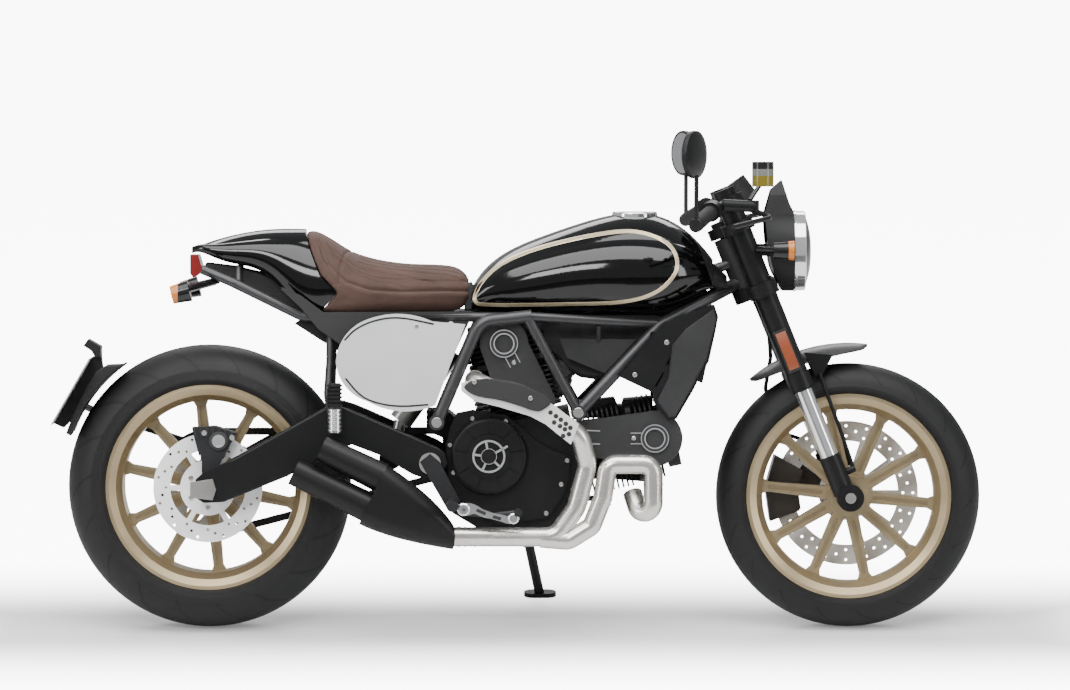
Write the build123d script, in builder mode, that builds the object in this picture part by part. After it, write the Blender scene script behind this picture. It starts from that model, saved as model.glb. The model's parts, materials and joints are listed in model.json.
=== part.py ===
"""A cafe racer motorcycle, parked on its side stand, built as separate pieces.

Every piece is drawn in the machine's own upright frame, in millimetres: +X points
forward, +Y to the rider's left, +Z up, with Z = 0 where the tyres touch the ground
and X = 0 a little ahead of the middle of the wheelbase. At the end each piece is
leaned onto the side stand and written, with the origin under the middle of the machine.
"""

import os
from math import asin, atan2, cos, hypot, radians, sin

from build123d import *

os.makedirs("parts", exist_ok=True)

# Wheels and steering
wheelbase = 1436.0
rear_axle_x = -694.0
rear_tyre_radius = 318.0
rear_tyre_half_width = 87.0
rear_crown_drop = 68.0
front_tyre_radius = 297.0
front_tyre_half_width = 59.0
front_crown_drop = 46.0
rim_flange_radius = 230.0
bead_radius = 216.0
rear_bead_half_width = 69.0
front_bead_half_width = 44.5
rake = 21.8
yoke_offset = 30.0
axle_lead = 8.4
lean = 10.0

# Fork and front end
fork_spacing = 100.0
stanchion_radius = 20.5
fork_tube_radius = 26.0
fork_tube_start = 262.0
fork_length = 744.0
head_tube_radius = 30.0
stem_radius = 15.0

# Chain line, brakes and swinging arm
chain_line = 101.0
rear_sprocket_radius = 110.0
front_sprocket_radius = 38.0
chain_pitch_gap = 6.0
rear_disc_radius = 122.0
rear_disc_y = -86.0
front_disc_radius = 163.0
front_disc_y = 64.0
arm_inner = 116.0
arm_width = 32.0
pivot_x, pivot_z = -196.0, 376.0

# Engine
crank_x, crank_z = 31.0, 368.0
cylinder_tilt = 12.8
cam_distance = 281.0
case_half_width = 108.0

# Side stand
stand_pivot = (20.0, 118.0, 196.0)
stand_splay = 45.0
stand_forward = 8.0


def crown_radius(half_width, drop):
    """Radius of the tyre's crown, seen from the front, from its half width and drop."""
    return (half_width**2 + drop**2) / (2 * drop)


# Heights that follow from the lean: both tyres touch the floor once leaned
rear_crown = crown_radius(rear_tyre_half_width, rear_crown_drop)
front_crown = crown_radius(front_tyre_half_width, front_crown_drop)
lean_lift = rear_crown * (1 - cos(radians(lean)))
rear_axle_z = rear_tyre_radius
front_axle_x = rear_axle_x + wheelbase
front_axle_z = front_tyre_radius - front_crown + (front_crown - lean_lift) / cos(radians(lean))

# Directions of the fork: up along the leg, and forward square to it
fork_up = Vector(-sin(radians(rake)), 0, cos(radians(rake)))
fork_forward = Vector(cos(radians(rake)), 0, sin(radians(rake)))
rear_axle = Vector(rear_axle_x, 0, rear_axle_z)
front_axle = Vector(front_axle_x, 0, front_axle_z)
steering_foot = front_axle - fork_forward * (yoke_offset + axle_lead)


def leg_point(height, side, forward=0.0):
    """A point up one fork leg, at a height along the leg from the axle."""
    foot = front_axle - fork_forward * (axle_lead - forward)
    return foot + fork_up * height + Vector(0, side * fork_spacing, 0)


def stem_point(height):
    """A point on the steering axis, at a height along it."""
    return steering_foot + fork_up * height


def side(y):
    """A plane for outlines seen from the right: its X and Y are the machine's X and Z."""
    return Plane(origin=(0, y, 0), x_dir=(1, 0, 0), z_dir=(0, -1, 0))


def rod(start, end, radius, end_radius=None):
    """Adds a round bar from one point to another, tapered if it has an end radius."""
    start, end = Vector(*start), Vector(*end)
    along = Plane(origin=start, z_dir=end - start)
    with BuildSketch(along) as near:
        Circle(radius)
    if end_radius is None:
        extrude(near.sketch, amount=(end - start).length)
    else:
        with BuildSketch(along.offset((end - start).length)) as far:
            Circle(end_radius)
        loft([near.sketch, far.sketch])


def bent_tube(points, radius, bend):
    """Adds a round tube along points, each corner rounded to a bend radius."""
    with BuildLine() as path:
        FilletPolyline(*points, radius=bend)
    with BuildSketch(Plane(origin=path.line @ 0, z_dir=path.line % 0)) as section:
        Circle(radius)
    sweep(section.sketch, path=path.line)


def stay(start, towards, radius, stop):
    """Adds a round bar from one point towards another, ending a distance before it."""
    start, towards = Vector(*start), Vector(*towards)
    rod(start, towards - (towards - start).normalized() * stop, radius)


def mirrored(point, hand):
    """The point, or its mirror image across the middle of the machine."""
    return (point[0], point[1] * hand, point[2])


def slab(outline, y_from, y_to):
    """Adds a plate with an outline in X and Z, between two values of Y."""
    with BuildSketch(side(max(y_from, y_to))) as face:
        Polygon(*outline, align=None)
    extrude(face.sketch, amount=abs(y_to - y_from))


def lofted_body(sections):
    """Adds a body lofted along the machine through rounded cross-sections."""
    drawn = []
    for x, bottom, bottom_y, wide_z, wide_y, shoulder_z, shoulder_y, top in sections:
        with BuildSketch(Plane(origin=(x, 0, 0), x_dir=(0, 1, 0), z_dir=(1, 0, 0))) as outline:
            with BuildLine():
                Line((-bottom_y, bottom), (bottom_y, bottom))
                ThreePointArc((bottom_y, bottom), (wide_y, wide_z), (shoulder_y, shoulder_z))
                ThreePointArc((shoulder_y, shoulder_z), (0, top), (-shoulder_y, shoulder_z))
                ThreePointArc((-shoulder_y, shoulder_z), (-wide_y, wide_z), (-bottom_y, bottom))
            make_face()
        drawn.append(outline.sketch)
    loft(drawn)


def make_tyre(axle, radius, half_width, drop, bead_half_width):
    """Adds a hollow tyre: crown, shoulders and side walls down to the beads."""
    shoulder = radius - drop
    wall = 9.0
    over_flange = rim_flange_radius + 0.5
    bulge = (half_width + bead_half_width) / 2 + 7
    inside = bead_half_width - 12
    inner_wall = half_width - wall
    with BuildSketch(Plane(origin=axle, x_dir=(1, 0, 0), z_dir=(0, 0, 1))) as outline:
        with BuildLine():
            Line((bead_radius, bead_half_width), (over_flange, bead_half_width))
            ThreePointArc(
                (over_flange, bead_half_width), ((over_flange + shoulder) / 2 - 4, bulge), (shoulder, half_width)
            )
            ThreePointArc((shoulder, half_width), (radius, 0), (shoulder, -half_width))
            ThreePointArc(
                (shoulder, -half_width), ((over_flange + shoulder) / 2 - 4, -bulge), (over_flange, -bead_half_width)
            )
            Polyline(
                (over_flange, -bead_half_width), (bead_radius, -bead_half_width),
                (bead_radius, -inside), (over_flange, -inside),
            )
            ThreePointArc(
                (over_flange, -inside),
                ((over_flange + shoulder) / 2, -(bulge - wall - 1)),
                (shoulder, -inner_wall),
            )
            ThreePointArc((shoulder, -inner_wall), (radius - wall, 0), (shoulder, inner_wall))
            ThreePointArc(
                (shoulder, inner_wall),
                ((over_flange + shoulder) / 2, bulge - wall - 1),
                (over_flange, inside),
            )
            Polyline((over_flange, inside), (bead_radius, inside), (bead_radius, bead_half_width))
        make_face()
    revolve(outline.sketch, axis=Axis(axle, (0, 1, 0)))


def make_wheel(axle, bead, hub_radius, hub_from, hub_to, first_spoke, bore):
    """Adds a cast wheel: rim with flanges and a well, ten grooved spokes, and a hub."""
    flange, spokes, rim_inner = 7.0, 10, 192.0
    spoke_root, spoke_tip, spoke_depth = 15.0, 11.0, 26.0
    with BuildSketch(Plane(origin=axle, x_dir=(1, 0, 0), z_dir=(0, 0, 1))) as outline:
        Polygon(
            (rim_flange_radius, -bead - flange), (rim_flange_radius, -bead),
            (bead_radius, -bead), (bead_radius, -bead + 20), (201, -bead + 36),
            (201, bead - 36), (bead_radius, bead - 20), (bead_radius, bead),
            (rim_flange_radius, bead), (rim_flange_radius, bead + flange),
            (222, bead + flange + 1), (207, bead), (194, bead - 22), (rim_inner, 0),
            (194, 22 - bead), (207, -bead), (222, -bead - flange - 1), align=None,
        )
    revolve(outline.sketch, axis=Axis(axle, (0, 1, 0)))
    hub_face = Plane(origin=axle + Vector(0, hub_to, 0), x_dir=(1, 0, 0), z_dir=(0, -1, 0))
    middle = Plane(origin=axle, x_dir=(1, 0, 0), z_dir=(0, -1, 0))
    with BuildSketch(hub_face) as outline:
        Circle(hub_radius)
    extrude(outline.sketch, amount=hub_to - hub_from)
    with BuildSketch(middle) as outline:
        with PolarLocations(0, spokes, start_angle=first_spoke):
            Polygon(
                (hub_radius - 8, -spoke_root), (rim_inner - 12, -spoke_tip), (rim_inner + 3, -spoke_tip - 7),
                (rim_inner + 3, spoke_tip + 7), (rim_inner - 12, spoke_tip), (hub_radius - 8, spoke_root),
                align=None,
            )
    extrude(outline.sketch, amount=spoke_depth / 2, both=True)
    groove_middle = (hub_radius + rim_inner) / 2
    groove_length = rim_inner - hub_radius - 22
    for face, into in ((spoke_depth / 2, -1), (-spoke_depth / 2, 1)):
        with BuildSketch(middle.offset(face)) as outline:
            with PolarLocations(groove_middle, spokes, start_angle=first_spoke):
                SlotOverall(groove_length, 9)
        extrude(outline.sketch, amount=5 * into, mode=Mode.SUBTRACT)
    with BuildSketch(hub_face) as outline:
        Circle(bore)
    extrude(outline.sketch, amount=hub_to - hub_from, mode=Mode.SUBTRACT)


# Tyres and cast wheels
with BuildPart() as rear_tyre:
    make_tyre(rear_axle, rear_tyre_radius, rear_tyre_half_width, rear_crown_drop, rear_bead_half_width)

with BuildPart() as front_tyre:
    make_tyre(front_axle, front_tyre_radius, front_tyre_half_width, front_crown_drop, front_bead_half_width)

axle_radius = 12.0
axle_bore = 12.1
with BuildPart() as rear_wheel:
    make_wheel(rear_axle, rear_bead_half_width, 52, rear_disc_y + 2.5, chain_line - 3, 24, axle_bore)

with BuildPart() as front_wheel:
    make_wheel(front_axle, front_bead_half_width, 46, -62, front_disc_y - 2.5, 30, axle_bore)


def make_disc(axle, y, radius, inner, thickness, carrier, arms, hub_bore):
    """Adds a brake disc with a drilled ring and a spoked carrier."""
    face = Plane(origin=axle + Vector(0, y + thickness / 2, 0), x_dir=(1, 0, 0), z_dir=(0, -1, 0))
    with BuildSketch(face) as outline:
        Circle(radius)
        Circle(inner, mode=Mode.SUBTRACT)
        for row, (count, turn) in enumerate(((arms * 2, 0), (arms * 2, 9), (arms * 2, 18))):
            with PolarLocations(inner + (radius - inner) * (0.25 + 0.25 * row), count, start_angle=turn):
                Circle(3.2, mode=Mode.SUBTRACT)
        Circle(carrier)
        Circle(hub_bore, mode=Mode.SUBTRACT)
        with PolarLocations((carrier + inner) / 2, arms):
            Rectangle(inner - carrier + 14, 12)
    extrude(outline.sketch, amount=thickness)


with BuildPart() as rear_disc:
    make_disc(rear_axle, rear_disc_y, rear_disc_radius, 84, 5, 62, 6, 30)

with BuildPart() as front_disc:
    make_disc(front_axle, front_disc_y, front_disc_radius, 118, 5, 62, 10, 30)

# Final drive: rear sprocket, and a chain of link plates and rollers round both sprockets
with BuildPart() as rear_sprocket:
    with BuildSketch(Plane(origin=rear_axle + Vector(0, chain_line + 3, 0), x_dir=(1, 0, 0), z_dir=(0, -1, 0))):
        Circle(rear_sprocket_radius)
        with PolarLocations(78, 6):
            Circle(19, mode=Mode.SUBTRACT)
        Circle(30, mode=Mode.SUBTRACT)
        with PolarLocations(rear_sprocket_radius, 42):
            Circle(4, mode=Mode.SUBTRACT)
    extrude(amount=6)

output_x, output_z = -122.0, 392.0
with BuildPart() as chain:
    centre_line = []
    reach = hypot(output_x - rear_axle_x, output_z - rear_axle_z)
    slope = atan2(output_z - rear_axle_z, output_x - rear_axle_x)
    big = rear_sprocket_radius + chain_pitch_gap
    small = front_sprocket_radius + chain_pitch_gap
    dip = asin((big - small) / reach)
    for radius_out, y_from, y_to in ((8.0, chain_line - 7.5, chain_line - 5), (8.0, chain_line + 5, chain_line + 7.5)):
        with BuildSketch(side(y_to)):
            for grow, mode in ((radius_out, Mode.ADD), (-radius_out, Mode.SUBTRACT)):
                rear_top = (
                    rear_axle_x + (big + grow) * -sin(slope - dip),
                    rear_axle_z + (big + grow) * cos(slope - dip),
                )
                front_top = (
                    output_x + (small + grow) * -sin(slope - dip),
                    output_z + (small + grow) * cos(slope - dip),
                )
                rear_low = (
                    rear_axle_x + (big + grow) * sin(slope + dip),
                    rear_axle_z - (big + grow) * cos(slope + dip),
                )
                front_low = (
                    output_x + (small + grow) * sin(slope + dip),
                    output_z - (small + grow) * cos(slope + dip),
                )
                with BuildLine():
                    Line(rear_top, front_top)
                    ThreePointArc(
                        front_top,
                        (output_x + (small + grow) * cos(slope), output_z + (small + grow) * sin(slope)),
                        front_low,
                    )
                    Line(front_low, rear_low)
                    ThreePointArc(
                        rear_low,
                        (rear_axle_x - (big + grow) * cos(slope), rear_axle_z - (big + grow) * sin(slope)),
                        rear_top,
                    )
                make_face(mode=mode)
        extrude(amount=y_to - y_from)
    pitch = 30.0
    run = reach * cos(dip)
    for turn, way, base in ((slope - dip, 1, 1), (slope + dip, -1, -1)):
        for step in range(int(run / pitch)):
            along = (step + 0.5) * pitch
            x = rear_axle_x + big * -sin(turn) * base + along * cos(turn)
            z = rear_axle_z + big * cos(turn) * base + along * sin(turn)
            rod((x, chain_line - 5.5, z), (x, chain_line + 5.5, z), 4)
    for step in range(5):
        turn = radians(-72 + 36 * step)
        x, z = output_x + small * cos(turn), output_z + small * sin(turn)
        rod((x, chain_line - 5.5, z), (x, chain_line + 5.5, z), 4)

# Swinging arm: two deep box arms, a cross tube, and pivot bosses
arm_outline = [
    (-184, 414), (-369, 494), (-400, 503), (-430, 500), (-672, 367), (-700, 356), (-718, 340),
    (-718, 300), (-700, 288), (-655, 290), (-514, 347), (-418, 400), (-370, 418), (-307, 394),
    (-236, 352), (-196, 338), (-170, 352), (-158, 376), (-164, 400),
]
with BuildPart() as swinging_arm:
    for hand in (1, -1):
        inner = arm_inner * hand
        slab(arm_outline, inner, inner + arm_width * hand)
    fillet(swinging_arm.edges().filter_by(lambda e: e.length > 150), 6)
    rod((-285, -arm_inner - 1, 385), (-285, arm_inner + 1, 385), 25)
    with BuildSketch(side(arm_inner + arm_width)):
        with Locations((rear_axle_x, rear_axle_z)):
            Circle(axle_bore)
        with Locations((pivot_x, pivot_z)):
            Circle(15.05)
    extrude(amount=2 * (arm_inner + arm_width), mode=Mode.SUBTRACT)

with BuildPart() as pivot_shaft:
    rod((pivot_x, -arm_inner - arm_width - 3, pivot_z), (pivot_x, arm_inner + arm_width + 3, pivot_z), 15)
    for hand in (1, -1):
        start = (arm_inner + arm_width + 0.2) * hand
        rod((pivot_x, start, pivot_z), (pivot_x, start + 9 * hand, pivot_z), 24)

with BuildPart() as rear_axle_set:
    reach_y = arm_inner + arm_width
    rod((rear_axle_x, -reach_y - 14, rear_axle_z), (rear_axle_x, reach_y + 14, rear_axle_z), axle_radius)
    for hand in (1, -1):
        face = (reach_y + 0.2) * hand
        slab([(-730, 300), (-680, 294), (-672, 318), (-680, 342), (-730, 334)], face, face + 5 * hand)
        rod((rear_axle_x, face, rear_axle_z), (rear_axle_x, face + 12 * hand, rear_axle_z), 20)
    for from_y, to_y in ((rear_disc_y + 2.2, -arm_inner), (chain_line - 2.7, arm_inner)):
        rod((rear_axle_x, from_y, rear_axle_z), (rear_axle_x, to_y, rear_axle_z), 20)

# Engine: cases with two cylinder decks, and finned cylinders in a vee
def cylinder_axis(rear):
    """Direction of one cylinder of the vee, from the crankshaft outward."""
    tilt = radians(cylinder_tilt)
    return Vector(-sin(tilt), 0, cos(tilt)) if rear else Vector(cos(tilt), 0, sin(tilt))


def vee_point(along_front, along_rear, y=0.0):
    """A point by its distances from the crankshaft along the two cylinder directions."""
    crank = Vector(crank_x, y, crank_z)
    return crank + cylinder_axis(False) * along_front + cylinder_axis(True) * along_rear


deck = 108.0
head_end = 328.0
mount_y = 112.0
lower_rear_mount = (-181.0, 467.0)
lower_front_mount = (134.0, 489.0)
with BuildPart() as engine_cases:
    decks = [vee_point(-105, deck), vee_point(deck, deck), vee_point(deck, -95)]
    outline = [(corner.X, corner.Z) for corner in decks] + [(117, 255), (61, 226), (-85, 226)]
    outline += [(-146, 262), (-166, 330), (-160, 420), (-130, 446)]
    slab(outline, -case_half_width, case_half_width)
    with BuildSketch(side(case_half_width + 1)):
        with Locations((output_x - 8, output_z)):
            Rectangle(130, 160)
    extrude(amount=case_half_width + 1 - 88, mode=Mode.SUBTRACT)
    slab([(-205, 445), (-205, 490), (-160, 490), (-110, 450), (-110, 420), (-150, 420)], -70, 70)
    for hand in (1, -1):
        rod((lower_rear_mount[0], 60 * hand, lower_rear_mount[1]),
            (lower_rear_mount[0], mount_y * hand, lower_rear_mount[1]), 17)
    with BuildSketch(side(mount_y + 1)):
        with Locations(lower_rear_mount):
            Circle(6.1)
        with Locations((pivot_x, pivot_z)):
            Circle(15.1)
    extrude(amount=2 * mount_y + 2, mode=Mode.SUBTRACT)


def make_cylinder(rear):
    """Adds one finned cylinder and head, from the deck to the rocker covers."""
    axis = cylinder_axis(rear)
    base = Plane(origin=Vector(crank_x, 0, crank_z), x_dir=(0, 1, 0), z_dir=axis)
    with BuildSketch(base.offset(deck)) as outline:
        RectangleRounded(120, 130, 30)
    extrude(outline.sketch, amount=head_end - deck)
    for level, wide, deep in ((deck, 170, 150), (230, 186, 178)):
        with BuildSketch(base.offset(level)) as outline:
            RectangleRounded(wide, deep, 24)
        extrude(outline.sketch, amount=6 if level == deck else 12)
    for step in range(9):
        with BuildSketch(base.offset(deck + 14 + 11 * step)) as outline:
            RectangleRounded(178, 192, 30)
        extrude(outline.sketch, amount=4)
    for step in range(4):
        with BuildSketch(base.offset(250 + 11 * step)) as outline:
            RectangleRounded(178, 186, 36)
        extrude(outline.sketch, amount=4)
    with BuildSketch(base.offset(300)) as outline:
        RectangleRounded(150, 150, 30)
    extrude(outline.sketch, amount=head_end - 300)
    cam = Vector(crank_x, 0, crank_z) + axis * cam_distance
    rod(cam + Vector(0, -108, 0), cam, 30)


with BuildPart() as cylinder_front:
    make_cylinder(False)

with BuildPart() as cylinder_rear:
    make_cylinder(True)

# Covers on the right side of the engine
clutch = (-65.0, 391.0)
clutch_radius = 85.0
cover_y = -case_half_width
cover_plate = 8.0
cover_dome = 26.0
cover_outline = [
    (-137, 487), (-102, 494), (-26, 482), (8, 453), (36, 426), (80, 402), (116, 390), (114, 340), (100, 300), (66, 252),
    (4, 244), (-46, 236), (-128, 290), (-156, 330), (-160, 416), (-152, 454),
]
cover_bolts = [
    (-101.9, 474.4), (-27.3, 467.7), (-151.9, 415.4), (-144.1, 354.2), (-1.6, 251.7), (62.8, 262.8), (96.1, 327.4),
    (109.4, 380.8),
]
with BuildPart() as clutch_cover:
    with BuildSketch(side(cover_y)):
        Polygon(*cover_outline, align=None)
        with Locations(*cover_bolts):
            Circle(10)
    extrude(amount=cover_plate)
    with BuildSketch(side(cover_y - cover_plate)):
        with Locations(clutch):
            Circle(clutch_radius)
    extrude(amount=cover_dome - cover_plate)
    fillet(clutch_cover.faces().sort_by(Axis.Y)[0].edges(), 8)
    with BuildSketch(side(cover_y - cover_dome + 2)):
        with Locations(clutch):
            with PolarLocations(64, 9, start_angle=10):
                Rectangle(28, 2.5)
    extrude(amount=4, mode=Mode.SUBTRACT)
    with BuildSketch(side(cover_y - cover_dome)):
        with Locations(clutch):
            Circle(48)
    extrude(amount=4)
    with BuildSketch(side(cover_y - cover_dome - 4)):
        with Locations(clutch):
            Circle(37)
            Circle(32, mode=Mode.SUBTRACT)
            with PolarLocations(24, 5, start_angle=29):
                Rectangle(18, 5)
            Circle(17)
    extrude(amount=4)

with BuildPart() as belt_cover_rear:
    cam = vee_point(0, cam_distance)
    with BuildSketch(side(cover_y)):
        with BuildLine():
            Polyline((-80, 620), (-46, 520), (30, 478), (80, 489), (84, 520), (20, 650), (-80, 620))
        make_face()
        with Locations((cam.X, cam.Z)):
            Circle(54)
    extrude(amount=17)
    with BuildSketch(side(cover_y - 17)):
        with Locations((cam.X, cam.Z)):
            Circle(32)
            Circle(21, mode=Mode.SUBTRACT)
    extrude(amount=5)

with BuildPart() as belt_cover_front:
    cam = vee_point(cam_distance, 0)
    with BuildSketch(side(cover_y)):
        with BuildLine():
            Polyline((305, 492), (190, 476), (128, 470), (118, 438), (140, 392), (305, 368), (305, 492))
        make_face()
        with Locations((cam.X, cam.Z)):
            Circle(62)
    extrude(amount=17)
    with BuildSketch(side(cover_y - 17)):
        with Locations((cam.X, cam.Z)):
            Circle(32)
            Circle(21, mode=Mode.SUBTRACT)
    extrude(amount=5)

with BuildPart() as generator_cover:
    with BuildSketch(side(case_half_width + 28)):
        with Locations((crank_x, crank_z)):
            Circle(82)
    extrude(amount=28)
    fillet(generator_cover.faces().sort_by(Axis.Y)[-1].edges(), 10)

with BuildPart() as sprocket_cover:
    slab([(-60, 462), (-60, 322), (-140, 318), (-172, 350), (-172, 430), (-140, 462)], 111, 114)
    for x, z in ((-80, 454), (-80, 327)):
        rod((x, 88, z), (x, 112, z), 5)

with BuildPart() as front_sprocket:
    with BuildSketch(side(chain_line + 3)):
        with Locations((output_x, output_z)):
            Circle(front_sprocket_radius + 1.6)
    extrude(amount=6)
    rod((output_x, chain_line - 3, output_z), (output_x, 88, output_z), 16)

# Frame: tubes from the steering head down to the engine's lugs
tube_radius = 14.0
tube_y = mount_y + 28
head_low, head_high = 524.0, 640.0
with BuildPart() as frame:
    rod(stem_point(head_low), stem_point(head_high), head_tube_radius)
    for hand in (1, -1):
        y = tube_y * hand
        rear_x, rear_z = lower_rear_mount
        front_x, front_z = lower_front_mount
        bent_tube([(rear_x, y, rear_z), (-85, y, 692), (30, y, 704)], tube_radius, 45)
        rod((20, y, 703), (front_x, y, front_z), 11.5)
        join = stem_point(head_low + 8)
        bent_tube([(front_x, y, front_z), (320, 92 * hand, 684), (join.X - 10, 12 * hand, join.Z)], tube_radius, 60)
        rod((20, y, 703), (320, 92 * hand, 684), 10)
        top = stem_point(head_high - 62)
        bent_tube([(24, y - 10 * hand, 700), (110, 34 * hand, 694), (top.X - 8, 14 * hand, top.Z)], 11, 50)
        for x, z in (lower_rear_mount, lower_front_mount):
            rod((x, mount_y * hand, z), (x, (mount_y + 44) * hand, z), 17)
    for hand in (1, -1):
        rod((200, 30 * hand, 722), (200, 30 * hand, 744), 8)
    with BuildSketch(side(tube_y + 40)):
        with Locations(lower_rear_mount, lower_front_mount):
            Circle(6.1)
    extrude(amount=2 * (tube_y + 40), mode=Mode.SUBTRACT)
    rod(stem_point(head_low - 4), stem_point(head_low), head_tube_radius)
    with BuildSketch(Plane(origin=stem_point(head_low - 10), z_dir=fork_up)):
        Circle(stem_radius + 0.2)
    extrude(amount=head_high - head_low + 20, mode=Mode.SUBTRACT)

with BuildPart() as engine_bolts:
    for x, z in (lower_rear_mount,):
        for hand in (1, -1):
            rod((x, 62 * hand, z), (x, (mount_y + 52) * hand, z), 6)
            rod((x, (mount_y + 44) * hand, z), (x, (mount_y + 52) * hand, z), 11)

# Rear frame: seat rails with a rear loop
with BuildPart() as subframe:
    for hand in (1, -1):
        y = 96 * hand
        bent_tube([(-24, y, 700), (-480, 84 * hand, 700), (-640, 72 * hand, 778), (-706, 60 * hand, 806)], 11, 60)
        rod((-626, 71 * hand, 772), (-626, 52 * hand, 813), 7)
        rod((-32, 94 * hand, 703.5), (-32, 125.4 * hand, 703.5), 6)
    rod((-480, -86, 700), (-480, 86, 700), 9)
    rod((-700, -62, 803), (-700, 62, 803), 9)
    rod((-140, -92, 700), (-140, 92, 700), 9)
    rod((-140, 50, 700), (-140, 50, 676), 8)


# Exhaust: two header pipes that join below the engine, and a twin-barrelled silencer
pipe_radius = 21.5
pipe_y = -148.0
pipe_low = 212.0
pipe_end = Vector(-146.0, pipe_y - 20, 214.0)
pipe_way = (pipe_end - Vector(-60, pipe_y, pipe_low)).normalized()
with BuildPart() as exhaust_pipes:
    bent_tube(
        [(-96, -93.6, 560), (-96, -176, 560), (50, -176, 498), (138, -168, 440), (155, pipe_y, 372),
         (130, pipe_y, 278), (84, pipe_y, pipe_low), (-60, pipe_y, pipe_low), pipe_end],
        pipe_radius, 45,
    )
    bent_tube(
        [(256, -100, 306), (268, pipe_y + 22, 268), (301, pipe_y, 262), (301, pipe_y, 374), (200, pipe_y, 374),
         (189, pipe_y, 300), (164, pipe_y, 236), (112, pipe_y, pipe_low - 8), (50, pipe_y, pipe_low - 3)],
        pipe_radius, 24,
    )

silencer_sections = [
    # x, y, z, depth of the section, its width, direction it faces
    (*(pipe_end + pipe_way * 0.3), 56.0, 56.0, pipe_way),
    (-228.0, -184.0, 256.0, 112.0, 68.0, Vector(-0.82, -0.06, 0.57)),
    (-322.0, -190.0, 310.0, 146.0, 74.0, Vector(-0.906, 0, 0.423)),
]
barrel_tilt = 26.0
barrels = [
    # x and z of the rear end, length, radius in front, radius at the rear
    (-437.0, 412.0, 150.0, 34.0, 30.0),
    (-497.0, 361.0, 185.0, 34.0, 30.5),
]
with BuildPart() as silencer:
    for x, y, z, deep, wide, rearward in silencer_sections:
        across = Vector(0, 1, 0) - rearward * rearward.Y / rearward.dot(rearward)
        with BuildSketch(Plane(origin=(x, y, z), x_dir=across, z_dir=rearward)):
            RectangleRounded(wide, deep, wide / 2 - 0.5)
    loft()
    turn = radians(barrel_tilt)
    for x, z, length, near, far in barrels:
        rear_end = Vector(x, -190, z)
        start = rear_end + Vector(cos(turn), 0, -sin(turn)) * length
        rod(start, rear_end, near, far)
        with BuildSketch(Plane(origin=rear_end, z_dir=Vector(cos(turn), 0, -sin(turn)))):
            Circle(far - 9)
        extrude(amount=12, mode=Mode.SUBTRACT)

with BuildPart() as heat_shield:
    slab([(-126, 558), (-97, 565), (-40, 560), (27, 540), (83, 506), (135, 466), (117, 421), (94, 439), (61, 466),
          (27, 484), (-40, 504), (-97, 518), (-126, 540)], -197.8, -200.4)

# Fuel tank: cross-sections lofted from the seat to the steering head
tank_sections = [
    # x, bottom, half width at the bottom, widest height, half width, shoulder height, half width, top
    (-104, 716, 62, 735, 84, 752, 70, 762),
    (-40, 714, 78, 752, 112, 806, 88, 835),
    (90, 713, 86, 770, 142, 850, 108, 892),
    (212, 713, 86, 785, 158, 872, 116, 927),
    (320, 716, 78, 790, 150, 870, 106, 923),
    (390, 744, 62, 802, 118, 850, 80, 881),
    (437, 761, 56, 788, 78, 812, 58, 828),
]
with BuildPart() as fuel_tank:
    lofted_body(tank_sections)
    tunnel = [(-120, 700), (470, 700), (470, 832), (300, 774), (110, 722), (-120, 722)]
    with BuildSketch(side(52)):
        Polygon(*tunnel, align=None)
    extrude(amount=104, mode=Mode.SUBTRACT)
    with BuildSketch(Plane.XY.offset(900)):
        with Locations((262, 0)):
            Circle(52)
    extrude(amount=60, mode=Mode.SUBTRACT)

with BuildPart() as fuel_cap:
    with BuildSketch(Plane.XY.offset(900.2)):
        with Locations((262, 0)):
            Circle(51)
    extrude(amount=34)
    fillet(fuel_cap.faces().sort_by(Axis.Z)[-1].edges(), 5)

trim_sections = [
    # x, bottom, half width at the bottom, widest height, half width, shoulder height, half width, top
    (437.4, 763, 56, 788, 76, 814, 58, 832),
    (468, 764, 52, 776, 62, 790, 54, 800),
]
with BuildPart() as tank_trim:
    lofted_body(trim_sections)
    with BuildSketch(side(50)):
        Polygon((420, 740), (490, 740), (490, 850), (420, 850), align=None)
    extrude(amount=100, mode=Mode.SUBTRACT)

# Seat, tail and side panels: the seat and the cowl meet along one parting line
parting = [(-474, 884), (-464, 852), (-441, 794), (-402, 754), (-441, 712)]
parting_gap = 2.0
seat_sections = [
    # x, bottom, half width at the bottom, widest height, half width, shoulder height, half width, top
    (-111, 738, 60, 754, 68, 772, 52, 782),
    (-135, 716, 68, 748, 82, 790, 62, 806),
    (-200, 711.5, 78, 745, 97, 792, 74, 812),
    (-290, 711.5, 92, 745, 112, 796, 84, 818),
    (-356, 711.5, 98, 752, 118, 808, 86, 834),
    (-412, 711.5, 100, 772, 117, 834, 84, 865),
    (-446, 715, 100, 790, 114, 852, 80, 887),
    (-474, 716, 98, 800, 110, 856, 76, 888),
]
cowl_sections = [
    # x, bottom, half width at the bottom, widest height, half width, shoulder height, half width, top
    (-731, 842, 34, 845, 44, 848, 30, 850),
    (-690, 837, 50, 846, 66, 859, 46, 868),
    (-626, 817, 60, 838, 77, 868, 52, 885),
    (-556, 790, 74, 828, 92, 874, 60, 895),
    (-500, 736, 88, 800, 104, 868, 68, 896),
    (-460, 716, 96, 790, 112, 858, 72, 895),
    (-400, 714, 100, 772, 117, 846, 80, 880),
]


with BuildPart() as seat:
    lofted_body(seat_sections)
    with BuildSketch(side(150)):
        Polygon((-474, 920), *parting, (-441, 690), (-560, 690), (-560, 920), align=None)
    extrude(amount=300, mode=Mode.SUBTRACT)

with BuildPart() as tail_cowl:
    lofted_body(cowl_sections)
    with BuildSketch(side(150)):
        Polygon(
            (-474 - parting_gap, 920), *[(x - parting_gap, z) for x, z in parting], (-441 - parting_gap, 690),
            (-380, 690), (-380, 920), align=None,
        )
    extrude(amount=300, mode=Mode.SUBTRACT)

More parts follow.
